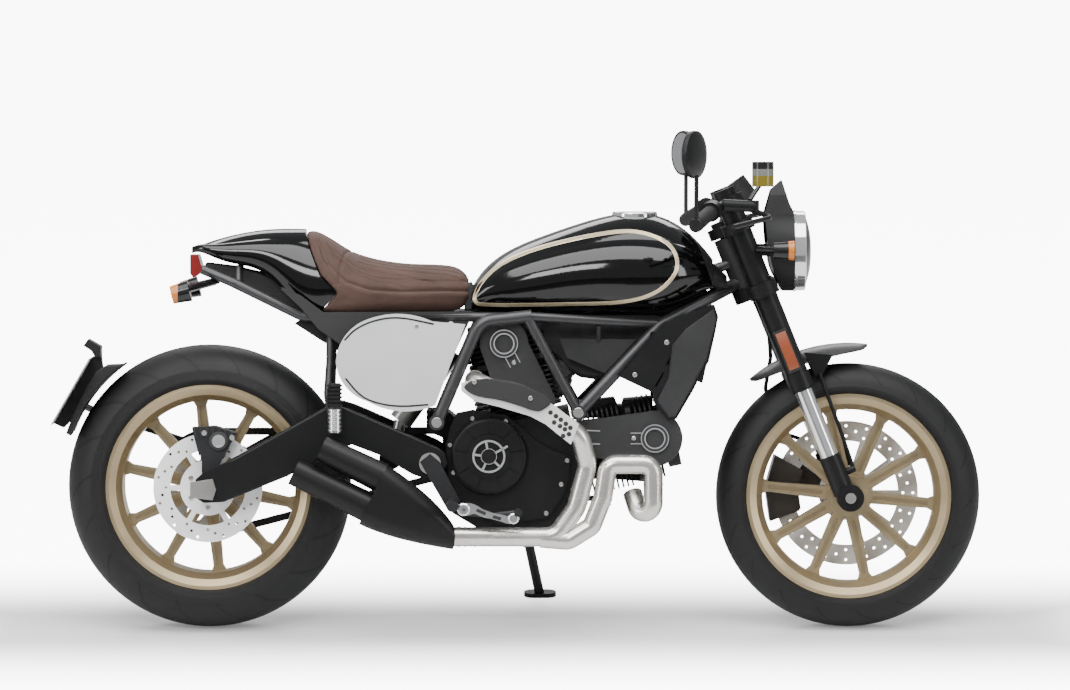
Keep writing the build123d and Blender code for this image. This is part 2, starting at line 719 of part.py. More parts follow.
with BuildPart() as tail_light:
    slab([(-735, 838), (-735, 796), (-728, 787), (-722, 790), (-709.4, 800), (-709.4, 812), (-717, 838)], -48, 48)

with BuildPart() as undertray:
    slab([(-500, 685), (-490, 690.6), (-389, 690.6), (-329, 690.6), (-401, 623), (-446, 650)], -72, 72)

with BuildPart() as side_plates:
    for hand in (1, -1):
        with BuildSketch(side(150 if hand == 1 else -144)):
            with BuildLine():
                ThreePointArc((-405, 600), (-383, 662), (-328, 699))
                ThreePointArc((-328, 699), (-266, 709), (-190, 692))
                Polyline((-190, 692), (-117, 686), (-184, 506))
                ThreePointArc((-184, 506), (-254, 492), (-335, 514))
                ThreePointArc((-335, 514), (-388, 553), (-405, 600))
            make_face()
        extrude(amount=6)
        rod((-150, 144 * hand, 685), (-150, 101.4 * hand, 685), 6)
        rod((-300, 144 * hand, 685), (-300, 96 * hand, 685), 6)

with BuildPart() as battery_box:
    slab([(92, 652), (265, 650), (194, 574), (110, 608)], -88, 88)
    for hand in (1, -1):
        stay((180, 80 * hand, 640), (180, 114.4 * hand, 692.9), 6, 11.2)

with BuildPart() as front_shrouds:
    for hand in (1, -1):
        slab([(225, 569), (301, 533), (300, 515), (333, 470), (353, 475), (390, 538), (403, 565), (425, 603),
              (439, 666), (446, 702), (437, 729), (432, 729), (324, 688)], 129 * hand, 141 * hand)
        stay((300, 130 * hand, 663), (300, 97.2 * hand, 663), 6, 15.6)
    with BuildSketch(side(150)):
        for corners in (((346, 624), (350, 622), (333, 594), (329, 596)), ((322, 579), (326, 577), (308, 545), (304, 547))):
            Polygon(*corners, align=None)
    extrude(amount=300, mode=Mode.SUBTRACT)

with BuildPart() as oil_cooler:
    slab([(392, 560), (412, 552), (445, 700), (425, 708)], -95, 95)
    for hand in (1, -1):
        for x, z in ((406, 585), (426, 670)):
            rod((x, 90 * hand, z), (x, 129 * hand, z), 6)

plate_top, plate_foot = Vector(-958, 0, 606), Vector(-1044, 0, 458)
with BuildPart() as plate_holder:
    start = radians(125)
    first = Plane(origin=rear_axle, x_dir=(cos(start), 0, sin(start)), z_dir=(-sin(start), 0, cos(start)))
    with BuildSketch(first):
        with Locations((334, 0)):
            Rectangle(5, 150)
    revolve(axis=Axis(rear_axle, (0, -1, 0)), revolution_arc=34)
    slab([(-938, 618), (plate_top.X, plate_top.Z), (plate_foot.X, plate_foot.Z), (-1022, 448), (-975, 494),
          (-930, 552)], -12, 12)
    slab([(-976, 634), (-966, 648), (-938, 632), (-938, 608), (-950, 608), (-958, 622)], -30, 30)
    bent_tube([(-985, 10, 500), (-960, 110, 480), (-735, 162, 400), (-690, 162, 352)], 8, 30)
    rod((-690, 148.3, 352), (-690, 162, 352), 7.5)

with BuildPart() as number_plate:
    along = plate_foot - plate_top
    with BuildSketch(Plane(origin=(plate_top + plate_foot) / 2, x_dir=(0, 1, 0), z_dir=Vector(0, 1, 0).cross(along))):
        Rectangle(180, along.length)
    extrude(amount=2)

with BuildPart() as rear_signals:
    for hand in (1, -1):
        rod((-680, 50 * hand, 778), (-742, 160 * hand, 762), 8)
        rod((-728, 178 * hand, 762), (-768, 178 * hand, 752), 24, 20)

# Front end: yokes, inverted fork, lamp, screen and bars, which steer together
with BuildPart() as fork_yokes:
    for low, high, deep in ((489, 519.5, 34), (643, 667, 36)):
        base = Plane(origin=stem_point(low), x_dir=(0, 1, 0), z_dir=fork_up)
        with BuildSketch(base):
            with Locations((0, -yoke_offset)):
                SlotOverall(2 * fork_spacing + 76, 2 * deep)
            Circle(36)
            with Locations((fork_spacing, -yoke_offset), (-fork_spacing, -yoke_offset)):
                Circle(fork_tube_radius, mode=Mode.SUBTRACT)
        extrude(amount=high - low)
    rod(stem_point(500), stem_point(672), stem_radius)
    rod(stem_point(667), stem_point(678), 24)

with BuildPart() as fork_tubes:
    for hand in (1, -1):
        rod(leg_point(fork_tube_start, hand), leg_point(fork_length, hand), fork_tube_radius)
        rod(leg_point(fork_tube_start + 4, hand), leg_point(fork_tube_start + 40, hand), fork_tube_radius + 2)

with BuildPart() as stanchions:
    for hand in (1, -1):
        rod(leg_point(104, hand), leg_point(fork_tube_start, hand), stanchion_radius)

stay_lug_y, stay_lug_radius = 90.0, 8.0
with BuildPart() as fork_feet:
    for hand in (1, -1):
        rod(leg_point(14, hand), leg_point(104, hand), 24)
        rod((712, stay_lug_y * hand, 344), (754, stay_lug_y * hand, 362), stay_lug_radius)
        rod(front_axle + Vector(0, 75 * hand, 0), front_axle + Vector(0, 127 * hand, 0), 30)
    with BuildSketch(side(140)):
        with Locations((front_axle_x, front_axle_z)):
            Circle(axle_bore)
    extrude(amount=280, mode=Mode.SUBTRACT)

with BuildPart() as front_axle_set:
    rod(front_axle + Vector(0, -134, 0), front_axle + Vector(0, 134, 0), axle_radius)
    for start, end in ((-74.6, -62.3), (74.6, front_disc_y - 2.2)):
        rod(front_axle + Vector(0, start, 0), front_axle + Vector(0, end, 0), 20)

stay_tube_radius, stay_gap = 4.5, 0.5
with BuildPart() as front_mudguard:
    outer, edge, half = 343.0, 316.0, 68.0
    start = radians(82.5)
    first = Plane(origin=front_axle, x_dir=(cos(start), 0, sin(start)), z_dir=(-sin(start), 0, cos(start)))
    with BuildSketch(first):
        with BuildLine():
            ThreePointArc((edge, half), (outer, 0), (edge, -half))
            Line((edge, -half), (edge - 1, 3 - half))
            ThreePointArc((edge - 1, 3 - half), (outer - 3, 0), (edge - 1, half - 3))
            Line((edge - 1, half - 3), (edge, half))
        make_face()
    revolve(axis=Axis(front_axle, (0, -1, 0)), revolution_arc=48)
    for hand in (1, -1):
        slab([(640, 620), (705, 614), (682, 570), (666, 566), (655, 590)], 64.5 * hand, 67.5 * hand)
        stay_foot = (750, (stay_lug_y - stay_lug_radius - stay_tube_radius - stay_gap) * hand, 364)
        bent_tube([(674, 68 * hand, 574), (700, 70 * hand, 505), (724, 74 * hand, 440), stay_foot], stay_tube_radius, 50)
        stay((625, 60 * hand, 590), leg_point(300, hand), 6, 32)

with BuildPart() as headlight:
    centre = Vector(619, 0, 846)
    with BuildSketch(Plane(origin=centre, x_dir=(1, 0, 0), z_dir=(0, -1, 0))):
        with BuildLine():
            Polyline((-60, 8), (-60, 0), (0, 0), (0, 89), (-18, 88))
            ThreePointArc((-18, 88), (-46, 56), (-60, 8))
        make_face()
    revolve(axis=Axis(centre, (1, 0, 0)))

with BuildPart() as headlight_lens:
    with BuildSketch(Plane(origin=centre, x_dir=(1, 0, 0), z_dir=(0, -1, 0))):
        with BuildLine():
            Polyline((39, 5), (39, 0), (0, 0), (0, 89), (22, 89), (26, 80))
            ThreePointArc((26, 80), (36, 45), (39, 5))
        make_face()
    revolve(axis=Axis(centre, (1, 0, 0)))

screen_outer, screen_wall = 98.5, 4.0
screen_top = [(55, 925), (40, 972), (16, 1005), (-16, 1005), (-40, 972), (-55, 925)]
with BuildPart() as flyscreen:
    with BuildSketch(Plane(origin=(540, 0, 0), x_dir=(0, 1, 0), z_dir=(1, 0, 0))):
        for inset, mode in ((0, Mode.ADD), (screen_wall, Mode.SUBTRACT)):
            with Locations((0, 846)):
                Circle(screen_outer - inset, mode=mode)
            Polygon(
                (82 - inset, 890), *[(y * (1 - inset / 60), z - inset) for y, z in screen_top], (inset - 82, 890),
                align=None, mode=mode,
            )
    extrude(amount=100)
    with BuildSketch(side(120)):
        Polygon((592, 1006), (567, 983), (552, 927), (557, 870), (572, 800), (592, 757), (618, 757), (618, 933),
                (608, 954), align=None)
    extrude(amount=240, mode=Mode.INTERSECT)

with BuildPart() as headlight_ears:
    for hand in (1, -1):
        slab([(545.5, 836), (536, 860), (616, 860), (616, 836)], 89.3 * hand, 93.2 * hand)

bar_start_h = 712.0
bar_radius = 11.0
grip_start, bar_end = (424, 250, 936), (390, 385, 911)
with BuildPart() as handlebars:
    for hand in (1, -1):
        clamp = leg_point(bar_start_h, hand)
        with BuildSketch(Plane(origin=leg_point(bar_start_h - 14, hand), z_dir=fork_up)):
            Circle(36)
            Circle(fork_tube_radius, mode=Mode.SUBTRACT)
        extrude(amount=28)
        along = (Vector(*mirrored(bar_end, hand)) - Vector(*mirrored(grip_start, hand))).normalized()
        elbow = Vector(*mirrored(grip_start, hand)) - along * 46
        bent_tube([clamp + Vector(4, 33 * hand, 0), elbow, mirrored(bar_end, hand)], bar_radius, 25)

with BuildPart() as grips:
    for hand in (1, -1):
        rod(mirrored(grip_start, hand), mirrored(bar_end, hand), 16)
        along = Vector(*mirrored(bar_end, hand)) - Vector(*mirrored(grip_start, hand))
        with BuildSketch(Plane(origin=Vector(*mirrored(grip_start, hand)) - along * 0.1, z_dir=along)):
            Circle(11.1)
        extrude(amount=along.length * 1.2, mode=Mode.SUBTRACT)

with BuildPart() as mirrors:
    for hand in (1, -1):
        along = (Vector(*mirrored(bar_end, hand)) - Vector(*mirrored(grip_start, hand))).normalized()
        cap = Vector(*mirrored(bar_end, hand)) + along * 0.2
        rod(cap, cap + along * 12, 15)
        rod(cap + along * 6, (389, 403 * hand, 1018), 5)
        with BuildSketch(Plane(origin=(389, 400 * hand, 1064), z_dir=(-0.88, -0.47 * hand, 0))):
            Circle(52)
        extrude(amount=10)

with BuildPart() as instrument:
    rod((500, 0, 950), (470, 0, 990), 46)
    foot = stem_point(667) + fork_forward * 45
    rod(foot, foot + fork_up * 34, 12)

with BuildPart() as fluid_reservoir:
    rod((544, -150, 992), (544, -150, 1047), 24)
    stay((540, -160, 1000), (505, -201, 949), 5, 19)

with BuildPart() as bar_controls:
    for hand in (1, -1):
        along = (Vector(*mirrored(bar_end, hand)) - Vector(*mirrored(grip_start, hand))).normalized()
        inner_end = Vector(*mirrored(grip_start, hand)) - along * 1
        with BuildSketch(Plane(origin=inner_end - along * 30, z_dir=along)):
            Circle(22)
            Circle(bar_radius + 0.1, mode=Mode.SUBTRACT)
        extrude(amount=30)
        clamp_side = Vector(438, 214 * hand, 948)
        rod(clamp_side + Vector(15, 0, 4), (524, 196 * hand, 948), 13)
        rod((526, 200 * hand, 930), (526, 200 * hand, 962), 8)
        bent_tube([(524, 202 * hand, 938), (560, 250 * hand, 925), (470, 392 * hand, 906)], 6, 30)

with BuildPart() as front_signals:
    for hand in (1, -1):
        rod((534.4, 118 * hand, 851), (582, 156 * hand, 851), 7)
        rod((567, 168 * hand, 850), (613, 168 * hand, 850), 18, 22)

def sector(axle, inner, outer, start, end):
    """Corners of a ring segment seen from the right, with three points on the outer edge."""
    turns = [radians(start + (end - start) * step / 2) for step in range(3)]
    far = [(axle.X + outer * cos(turn), axle.Z + outer * sin(turn)) for turn in turns]
    near = [(axle.X + inner * cos(turn), axle.Z + inner * sin(turn)) for turn in reversed(turns)]
    return far + near


with BuildPart() as front_caliper:
    slab(sector(front_axle, 108, 184, 152, 200), 68.5, 112)
    slab(sector(front_axle, 112, 184, 152, 200), 34, 59.5)
    slab(sector(front_axle, 168, 184, 152, 200), 50, 80)
    slab([(620, 300), (704, 300), (676, 370), (640, 385)], 84, 112)

with BuildPart() as front_hose:
    bent_tube([(534, 52, 730), (566, 62, 668), (572, 80, 604), (560, 90, 530), (600, 100, 430), (655, 98, 412),
                (655, 98, 381.4)], 4.5, 26)

with BuildPart() as rear_caliper:
    slab(sector(rear_axle, 76, 140, 62, 104), -116, -90.5)
    slab(sector(rear_axle, 80, 140, 62, 104), -81.5, -62)
    slab(sector(rear_axle, 126, 140, 62, 104), -92, -75)
    slab([(-706, 400), (-706, 341), (-676, 341), (-655, 400)], -116, -106)

with BuildPart() as rear_shock:
    rod((-266, 50, 460), (-150, 50, 620), 27)
    rod((-150, 50, 620), (-140, 50, 664), 9)
    rod((-140, 38, 664), (-140, 62, 664), 11.5)
    stay((-266, 50, 460), (-285, 50, 385), 14, 25.4)

with BuildPart() as rider_pegs:
    for hand in (1, -1):
        slab([(-218, 380), (-196, 398), (-174, 380), (-128, 292), (-134, 272), (-156, 272)],
             157.2 * hand, 164 * hand)
        rod((-145, 160 * hand, 288), (-145, 262 * hand, 288), 13)

with BuildPart() as brake_pedal:
    bent_tube([(-136, -170.4, 268), (-60, -170.4, 262), (0, -185, 270)], 6, 20)
    rod((0, -180, 270), (0, -215, 270), 9)

with BuildPart() as gear_lever:
    rod((-136, 170.9, 268), (205, 158, 279), 6.5)
    rod((205, 156, 279), (205, 206, 279), 9)

with BuildPart() as passenger_pegs:
    rod((-407, -172, 556), (-407, -172, 446), 13)
    rod((-407, 172, 454), (-407, 250, 454), 13)
    for hand in (1, -1):
        bent_tube([(-420, 87 * hand, 688), (-420, 118 * hand, 600), (-424, 160 * hand, 530),
                   (-411, 160 * hand, 448)], 8, 20)
        rod((-410, 158 * hand, 454), (-407, 174 * hand, 454), 12)

# Side stand, on the left, swung down and forward
pivot = Vector(*stand_pivot)
splay, ahead = radians(stand_splay), radians(stand_forward)
stand_down = Vector(sin(ahead), cos(ahead) * sin(splay), -cos(ahead) * cos(splay))
floor_up = Vector(0, -sin(radians(lean)), cos(radians(lean)))
stand_reach = (pivot.dot(floor_up) + lean_lift) / -stand_down.dot(floor_up)
stand_back = Vector(-1, 0, 0.05).normalized()
stand_axis = stand_down.cross(stand_back).normalized()
with BuildPart() as side_stand:
    foot = pivot + stand_down * stand_reach
    rod(pivot, foot - stand_down * 10, 11)
    rod(pivot - stand_axis * 11.5, pivot + stand_axis * 11.5, 16)
    with BuildSketch(Plane(origin=foot, x_dir=(1, 0, 0), z_dir=floor_up)):
        SlotOverall(74, 44)
    extrude(amount=10)
    with BuildSketch(Plane(origin=pivot - stand_axis * 20, z_dir=stand_axis)):
        Circle(6.1)
    extrude(amount=40, mode=Mode.SUBTRACT)

with BuildPart() as stand_bracket:
    with BuildSketch(Plane(origin=(20, 77, 226), x_dir=(1, 0, 0), z_dir=(0, 0, -1))):
        Rectangle(60, 26)
    extrude(amount=34)
    rod(pivot - stand_axis * 24, pivot - stand_axis * 12, 15)
    rod((20, 80, 200), pivot - stand_axis * 23, 9)
    rod(pivot - stand_axis * 20, pivot + stand_axis * 14, 6)
    rod(pivot + stand_axis * 12, pivot + stand_axis * 17, 11)

# One entry a node: its name and the builders whose solids it holds
nodes = {
    "rear_tyre": [rear_tyre], "front_tyre": [front_tyre], "rear_wheel": [rear_wheel],
    "front_wheel": [front_wheel], "rear_disc": [rear_disc], "front_disc": [front_disc],
    "rear_sprocket": [rear_sprocket], "chain": [chain], "swinging_arm": [swinging_arm],
    "chassis_bolts": [pivot_shaft, engine_bolts], "rear_axle_set": [rear_axle_set],
    "engine_cases": [engine_cases], "cylinders": [cylinder_front, cylinder_rear],
    "side_covers": [clutch_cover, generator_cover], "belt_covers": [belt_cover_front, belt_cover_rear],
    "sprocket_cover": [sprocket_cover], "front_sprocket": [front_sprocket], "frame": [frame],
    "subframe": [subframe], "exhaust_pipes": [exhaust_pipes], "silencer": [silencer],
    "heat_shield": [heat_shield], "fuel_tank": [fuel_tank], "fuel_cap": [fuel_cap],
    "tank_trim": [tank_trim], "seat": [seat], "tail_cowl": [tail_cowl], "tail_light": [tail_light], "undertray": [undertray],
    "side_plates": [side_plates], "battery_box": [battery_box], "front_shrouds": [front_shrouds],
    "oil_cooler": [oil_cooler], "plate_holder": [plate_holder], "number_plate": [number_plate],
    "rear_signals": [rear_signals], "fork_yokes": [fork_yokes, headlight_ears], "fork_tubes": [fork_tubes],
    "stanchions": [stanchions], "fork_feet": [fork_feet], "front_axle_set": [front_axle_set],
    "front_mudguard": [front_mudguard], "headlight": [headlight], "headlight_lens": [headlight_lens],
    "flyscreen": [flyscreen], "handlebars": [handlebars], "grips": [grips], "mirrors": [mirrors],
    "bar_controls": [bar_controls],
    "instrument": [instrument], "fluid_reservoir": [fluid_reservoir], "front_signals": [front_signals],
    "front_caliper": [front_caliper], "front_hose": [front_hose], "rear_caliper": [rear_caliper],
    "rear_shock": [rear_shock],
    "foot_pegs": [rider_pegs, passenger_pegs], "foot_levers": [brake_pedal, gear_lever],
    "side_stand": [side_stand], "stand_bracket": [stand_bracket],
}

# Lean every piece onto the stand, and put the origin under the middle of the machine
leaned = {
    name: [Rot(-lean, 0, 0) * solid for builder in builders for solid in builder.part.solids()]
    for name, builders in nodes.items()
}
boxes = [solid.bounding_box() for solids in leaned.values() for solid in solids]
shift_x = -(min(box.min.X for box in boxes) + max(box.max.X for box in boxes)) / 2
shift_y = -(min(box.min.Y for box in boxes) + max(box.max.Y for box in boxes)) / 2
for name, solids in leaned.items():
    placed = [Pos(shift_x, shift_y, lean_lift) * solid for solid in solids]
    shape = placed[0] if len(placed) == 1 else Compound(children=placed)
    shape.label = name
    export_step(shape, f"parts/{name}.step")
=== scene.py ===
"""Finish for the cafe racer motorcycle: materials, leather seat, fasteners, and the studio it stands in."""

import json
import math

import bmesh
import bpy
from mathutils import Matrix, Vector
from mathutils.bvhtree import BVHTree


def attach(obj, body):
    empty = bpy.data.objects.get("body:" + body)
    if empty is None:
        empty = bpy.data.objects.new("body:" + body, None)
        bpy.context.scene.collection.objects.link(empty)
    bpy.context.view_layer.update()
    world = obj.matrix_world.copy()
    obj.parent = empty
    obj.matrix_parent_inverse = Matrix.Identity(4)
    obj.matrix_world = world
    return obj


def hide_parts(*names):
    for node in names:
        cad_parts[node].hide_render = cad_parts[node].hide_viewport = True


bl_info = {
    "name": "Cafe Racer Finish",
    "version": (1, 0, 0),
    "blender": (4, 5, 0),
    "location": "View3D > Sidebar > Cafe Racer",
    "description": "Builds the finish of a cafe racer motorcycle around its packed frame",
    "category": "Object",
}

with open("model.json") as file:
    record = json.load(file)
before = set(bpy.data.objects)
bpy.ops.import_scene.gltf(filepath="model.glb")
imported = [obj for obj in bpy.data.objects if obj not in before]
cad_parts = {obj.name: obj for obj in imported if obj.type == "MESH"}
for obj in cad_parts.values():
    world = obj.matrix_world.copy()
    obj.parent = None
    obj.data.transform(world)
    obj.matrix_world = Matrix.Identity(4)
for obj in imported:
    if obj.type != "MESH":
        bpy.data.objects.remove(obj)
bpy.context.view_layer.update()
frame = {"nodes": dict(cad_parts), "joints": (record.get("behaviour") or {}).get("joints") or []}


def joint(name):
    """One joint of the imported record, by name."""
    return next(entry for entry in frame["joints"] if entry["name"] == name)


# The machine leans: its own upright frame is found again from the rear wheel's joint
spin = joint("rear_wheel_spin")
LEAN = math.atan2(-spin["axis"][2], spin["axis"][1])
REAR_AXLE_UPRIGHT = Vector((-0.694, 0.0, 0.318))
TURN = Matrix.Rotation(-LEAN, 4, "X")
PLACE = Matrix.Translation(Vector(spin["pos_m"]) - TURN @ REAR_AXLE_UPRIGHT) @ TURN
FRONT_AXLE_UPRIGHT = PLACE.inverted() @ Vector(joint("front_wheel_spin")["pos_m"])


class Graph:
    """A node tree that is filled by short calls."""

    def __init__(self, tree):
        self.tree = tree
        self.tree.nodes.clear()

    def node(self, kind, **settings):
        """Adds a node. Settings name its properties. Its inputs are values, or sockets to link."""
        made = self.tree.nodes.new(kind)
        inputs = settings.pop("inputs", {})
        for key, value in settings.items():
            setattr(made, key, value)
        self.feed(made, inputs)
        return made

    def feed(self, node, inputs):
        """Sets or links a node's inputs."""
        for key, value in inputs.items():
            if isinstance(value, bpy.types.NodeSocket):
                self.tree.links.new(value, node.inputs[key])
            else:
                node.inputs[key].default_value = value

    def math(self, operation, first, second=None):
        """One Math node; each operand is a socket or a number."""
        inputs = {0: first} if second is None else {0: first, 1: second}
        return self.node("ShaderNodeMath", operation=operation, inputs=inputs).outputs[0]

    def blend(self, share, first, second):
        """One colour turning into another."""
        mixed = self.node("ShaderNodeMix", data_type="RGBA", inputs={0: share, 6: first, 7: second})
        return mixed.outputs[2]


# Edges sharper than this stay sharp in a piece that is shaded smooth
SHARP_ANGLE = math.radians(30)

# The machine's right and left side, as the sign of Y, and the way out on its right
HANDS = (-1, 1)
RIGHT = (0, -1, 0)

# Colours and grain that more than one material has
GLOSS = (0.0015, 0.0015, 0.0018)
MATT = (0.009, 0.009, 0.0095)
SLEEK = (60.0, 0.003, 4.0)
FINE = (500.0, 0.05, 9.0)


def new_group(name, inputs, outputs, kind_of_tree="ShaderNodeTree"):
    """An empty node group with named sockets."""
    group = bpy.data.node_groups.new(name, kind_of_tree)
    for label, kind, value in inputs:
        made = group.interface.new_socket(label, in_out="INPUT", socket_type=kind)
        if value is not None:
            made.default_value = value
    for label, kind in outputs:
        group.interface.new_socket(label, in_out="OUTPUT", socket_type=kind)
    return group


def grain_group():
    """Surface grain: a bump from fine noise and a factor from coarse noise, on object coordinates."""
    group = new_group(
        "surface_grain",
        (
            ("Scale", "NodeSocketFloat", 400.0), ("Depth", "NodeSocketFloat", 0.1),
            ("Patch", "NodeSocketFloat", 9.0),
        ),
        (("Normal", "NodeSocketVector"), ("Patches", "NodeSocketFloat")),
    )
    g = Graph(group)
    entry = g.node("NodeGroupInput").outputs
    place = g.node("ShaderNodeTexCoord").outputs["Object"]
    fine = g.node("ShaderNodeTexNoise", inputs={
        "Detail": 4.0, "Roughness": 0.6, "Vector": place, "Scale": entry["Scale"],
    }).outputs["Fac"]
    patch = g.node("ShaderNodeTexNoise", inputs={
        "Detail": 3.0, "Roughness": 0.55, "Vector": place, "Scale": entry["Patch"],
    }).outputs["Fac"]
    bump = g.node("ShaderNodeBump", inputs={"Distance": 0.001, "Strength": entry["Depth"], "Height": fine})
    g.node("NodeGroupOutput", inputs={"Normal": bump.outputs[0], "Patches": patch})


def upright_group():
    """Object coordinates turned back into the machine's own upright frame, in metres."""
    g = Graph(new_group("upright_place", (), (("Place", "NodeSocketVector"),)))
    place = g.node("ShaderNodeTexCoord").outputs["Object"]
    move = g.node("ShaderNodeVectorMath", operation="SUBTRACT", inputs={0: place, 1: PLACE.translation})
    turn = g.node("ShaderNodeVectorRotate", rotation_type="X_AXIS", inputs={
        "Angle": LEAN, "Vector": move.outputs[0],
    })
    g.node("NodeGroupOutput", inputs={"Place": turn.outputs[0]})


def base_material(name, colour, metallic, roughness, **settings):
    """A material with grain in its colour, roughness and bump. Returns it with the parts of its graph."""
    vary = settings.get("vary", 0.12)
    spread = settings.get("spread", 0.08)
    material = bpy.data.materials.new(name)
    material.use_nodes = True
    g = Graph(material.node_tree)
    surface = g.node("ShaderNodeGroup", node_tree=bpy.data.node_groups["surface_grain"])
    g.feed(surface, dict(zip(("Scale", "Depth", "Patch"), settings.get("grain", FINE))))
    low, high = ([min(1.0, channel * factor) for channel in colour] + [1] for factor in (1 - vary, 1 + vary))
    tint = g.blend(surface.outputs["Patches"], low, high)
    rough = g.node("ShaderNodeMapRange", inputs={
        "To Min": max(0.02, roughness - spread), "To Max": min(1.0, roughness + spread),
        "Value": surface.outputs["Patches"],
    })
    shader = g.node("ShaderNodeBsdfPrincipled", inputs={
        "Metallic": metallic, "Roughness": roughness, **settings.get("sockets", {}),
    })
    g.feed(shader, {"Roughness": rough.outputs[0], "Base Color": tint, "Normal": surface.outputs["Normal"]})
    g.node("ShaderNodeOutputMaterial", inputs={0: shader.outputs[0]})
    return material, g, shader, tint, surface


def upright_axes(g):
    """The X, Y and Z of the upright frame, as sockets of a material's graph."""
    upright = g.node("ShaderNodeGroup", node_tree=bpy.data.node_groups["upright_place"])
    return g.node("ShaderNodeSeparateXYZ", inputs={0: upright.outputs[0]}).outputs


def tyre_material(name, axle, half_width, radius):
    """Rubber with slanted tread grooves across the crown and fine rings on the side walls. The grooves are
    pressed in by a bump and painted darker than the rubber, as painted shade inside them.
    """
    material, g, shader, tint, surface = base_material(
        name, (0.0085, 0.0085, 0.009), 0.0, 0.56, grain=(900.0, 0.1, 14.0), vary=0.2,
        sockets={"Specular IOR Level": 0.3},
    )
    x, y, z = (g.math("SUBTRACT", place, centre) for place, centre in zip(upright_axes(g), axle))
    reach = g.math("SQRT", g.math("ADD", g.math("MULTIPLY", x, x), g.math("MULTIPLY", z, z)))
    turn = g.math("ARCTAN2", z, x)
    across = g.math("ABSOLUTE", g.math("DIVIDE", y, half_width))
    slant = g.math("ADD", turn, g.math("MULTIPLY", g.math("POWER", across, 1.6), 0.30))
    cycle = g.math("FRACT", g.math("MULTIPLY", slant, 18 / math.tau))
    width = g.math("ABSOLUTE", g.math("SUBTRACT", cycle, 0.5))
    groove_and_painted_shade = g.math("LESS_THAN", width, 0.042)
    band = g.math("MULTIPLY", g.math("GREATER_THAN", across, 0.16), g.math("LESS_THAN", across, 0.96))
    groove_and_painted_shade = g.math("MULTIPLY", groove_and_painted_shade, band)
    centre = g.math("LESS_THAN", across, 0.03)
    crown = g.math("GREATER_THAN", reach, radius - 0.072)
    groove_and_painted_shade = g.math("MULTIPLY", g.math("MAXIMUM", groove_and_painted_shade, centre), crown)
    rings = g.math("SINE", g.math("MULTIPLY", reach, 2600.0))
    wall = g.math("LESS_THAN", reach, radius - 0.055)
    rings = g.math("MULTIPLY", g.math("MULTIPLY", rings, wall), 0.08)
    height = g.math("SUBTRACT", rings, groove_and_painted_shade)
    bump = g.node("ShaderNodeBump", inputs={
        "Strength": 0.9, "Distance": 0.004, "Height": height, "Normal": surface.outputs["Normal"],
    })
    # Painted shade: the grooves take a near black colour, standing in for the shade inside them
    colour = g.blend(groove_and_painted_shade, tint, (0.004, 0.004, 0.004, 1))
    g.feed(shader, {"Normal": bump.outputs[0], "Base Color": colour})
    return material


def split_material(name, axis, edge, below, above):
    """A lamp: one colour on the low side of an edge along an axis, another on its high side."""
    material, g, shader, tint, surface = base_material(name, below, 0.0, 0.2, vary=0.1)
    place = upright_axes(g)["xyz".index(axis)]
    g.feed(shader, {"Base Color": g.blend(g.math("GREATER_THAN", place, edge), tint, (*above, 1))})
    return material


def tank_material():
    """Gloss black paint, with a matt black trim across the front of the tank."""
    material, g, shader, tint, surface = base_material(
        "tank_paint", GLOSS, 0.0, 0.09, grain=SLEEK, spread=0.02
    )
    x, y, z = upright_axes(g)
    edge = g.math("ADD", 0.398, g.math("MULTIPLY", g.math("SUBTRACT", 0.875, z), 0.36))
    front = g.math("GREATER_THAN", x, edge)
    rough = g.node("ShaderNodeMix", inputs={0: front, 2: 0.09, 3: 0.5})
    g.feed(shader, {"Roughness": rough.outputs[0], "Base Color": g.blend(front, tint, (*MATT, 1))})
    return material


def reservoir_material():
    """Clouded plastic with yellow fluid behind it, under a black cap and over a black stay."""
    material, g, shader, tint, surface = base_material(
        "reservoir_shell", (0.16, 0.16, 0.15), 0.0, 0.2, vary=0.25
    )
    x, y, z = upright_axes(g)
    shell = g.blend(g.math("LESS_THAN", z, 1.016), tint, (0.17, 0.135, 0.012, 1))
    trim = g.math("MAXIMUM", g.math("GREATER_THAN", z, 1.031), g.math("LESS_THAN", z, 0.9925))
    g.feed(shader, {"Base Color": g.blend(trim, shell, (*MATT, 1))})
    return material


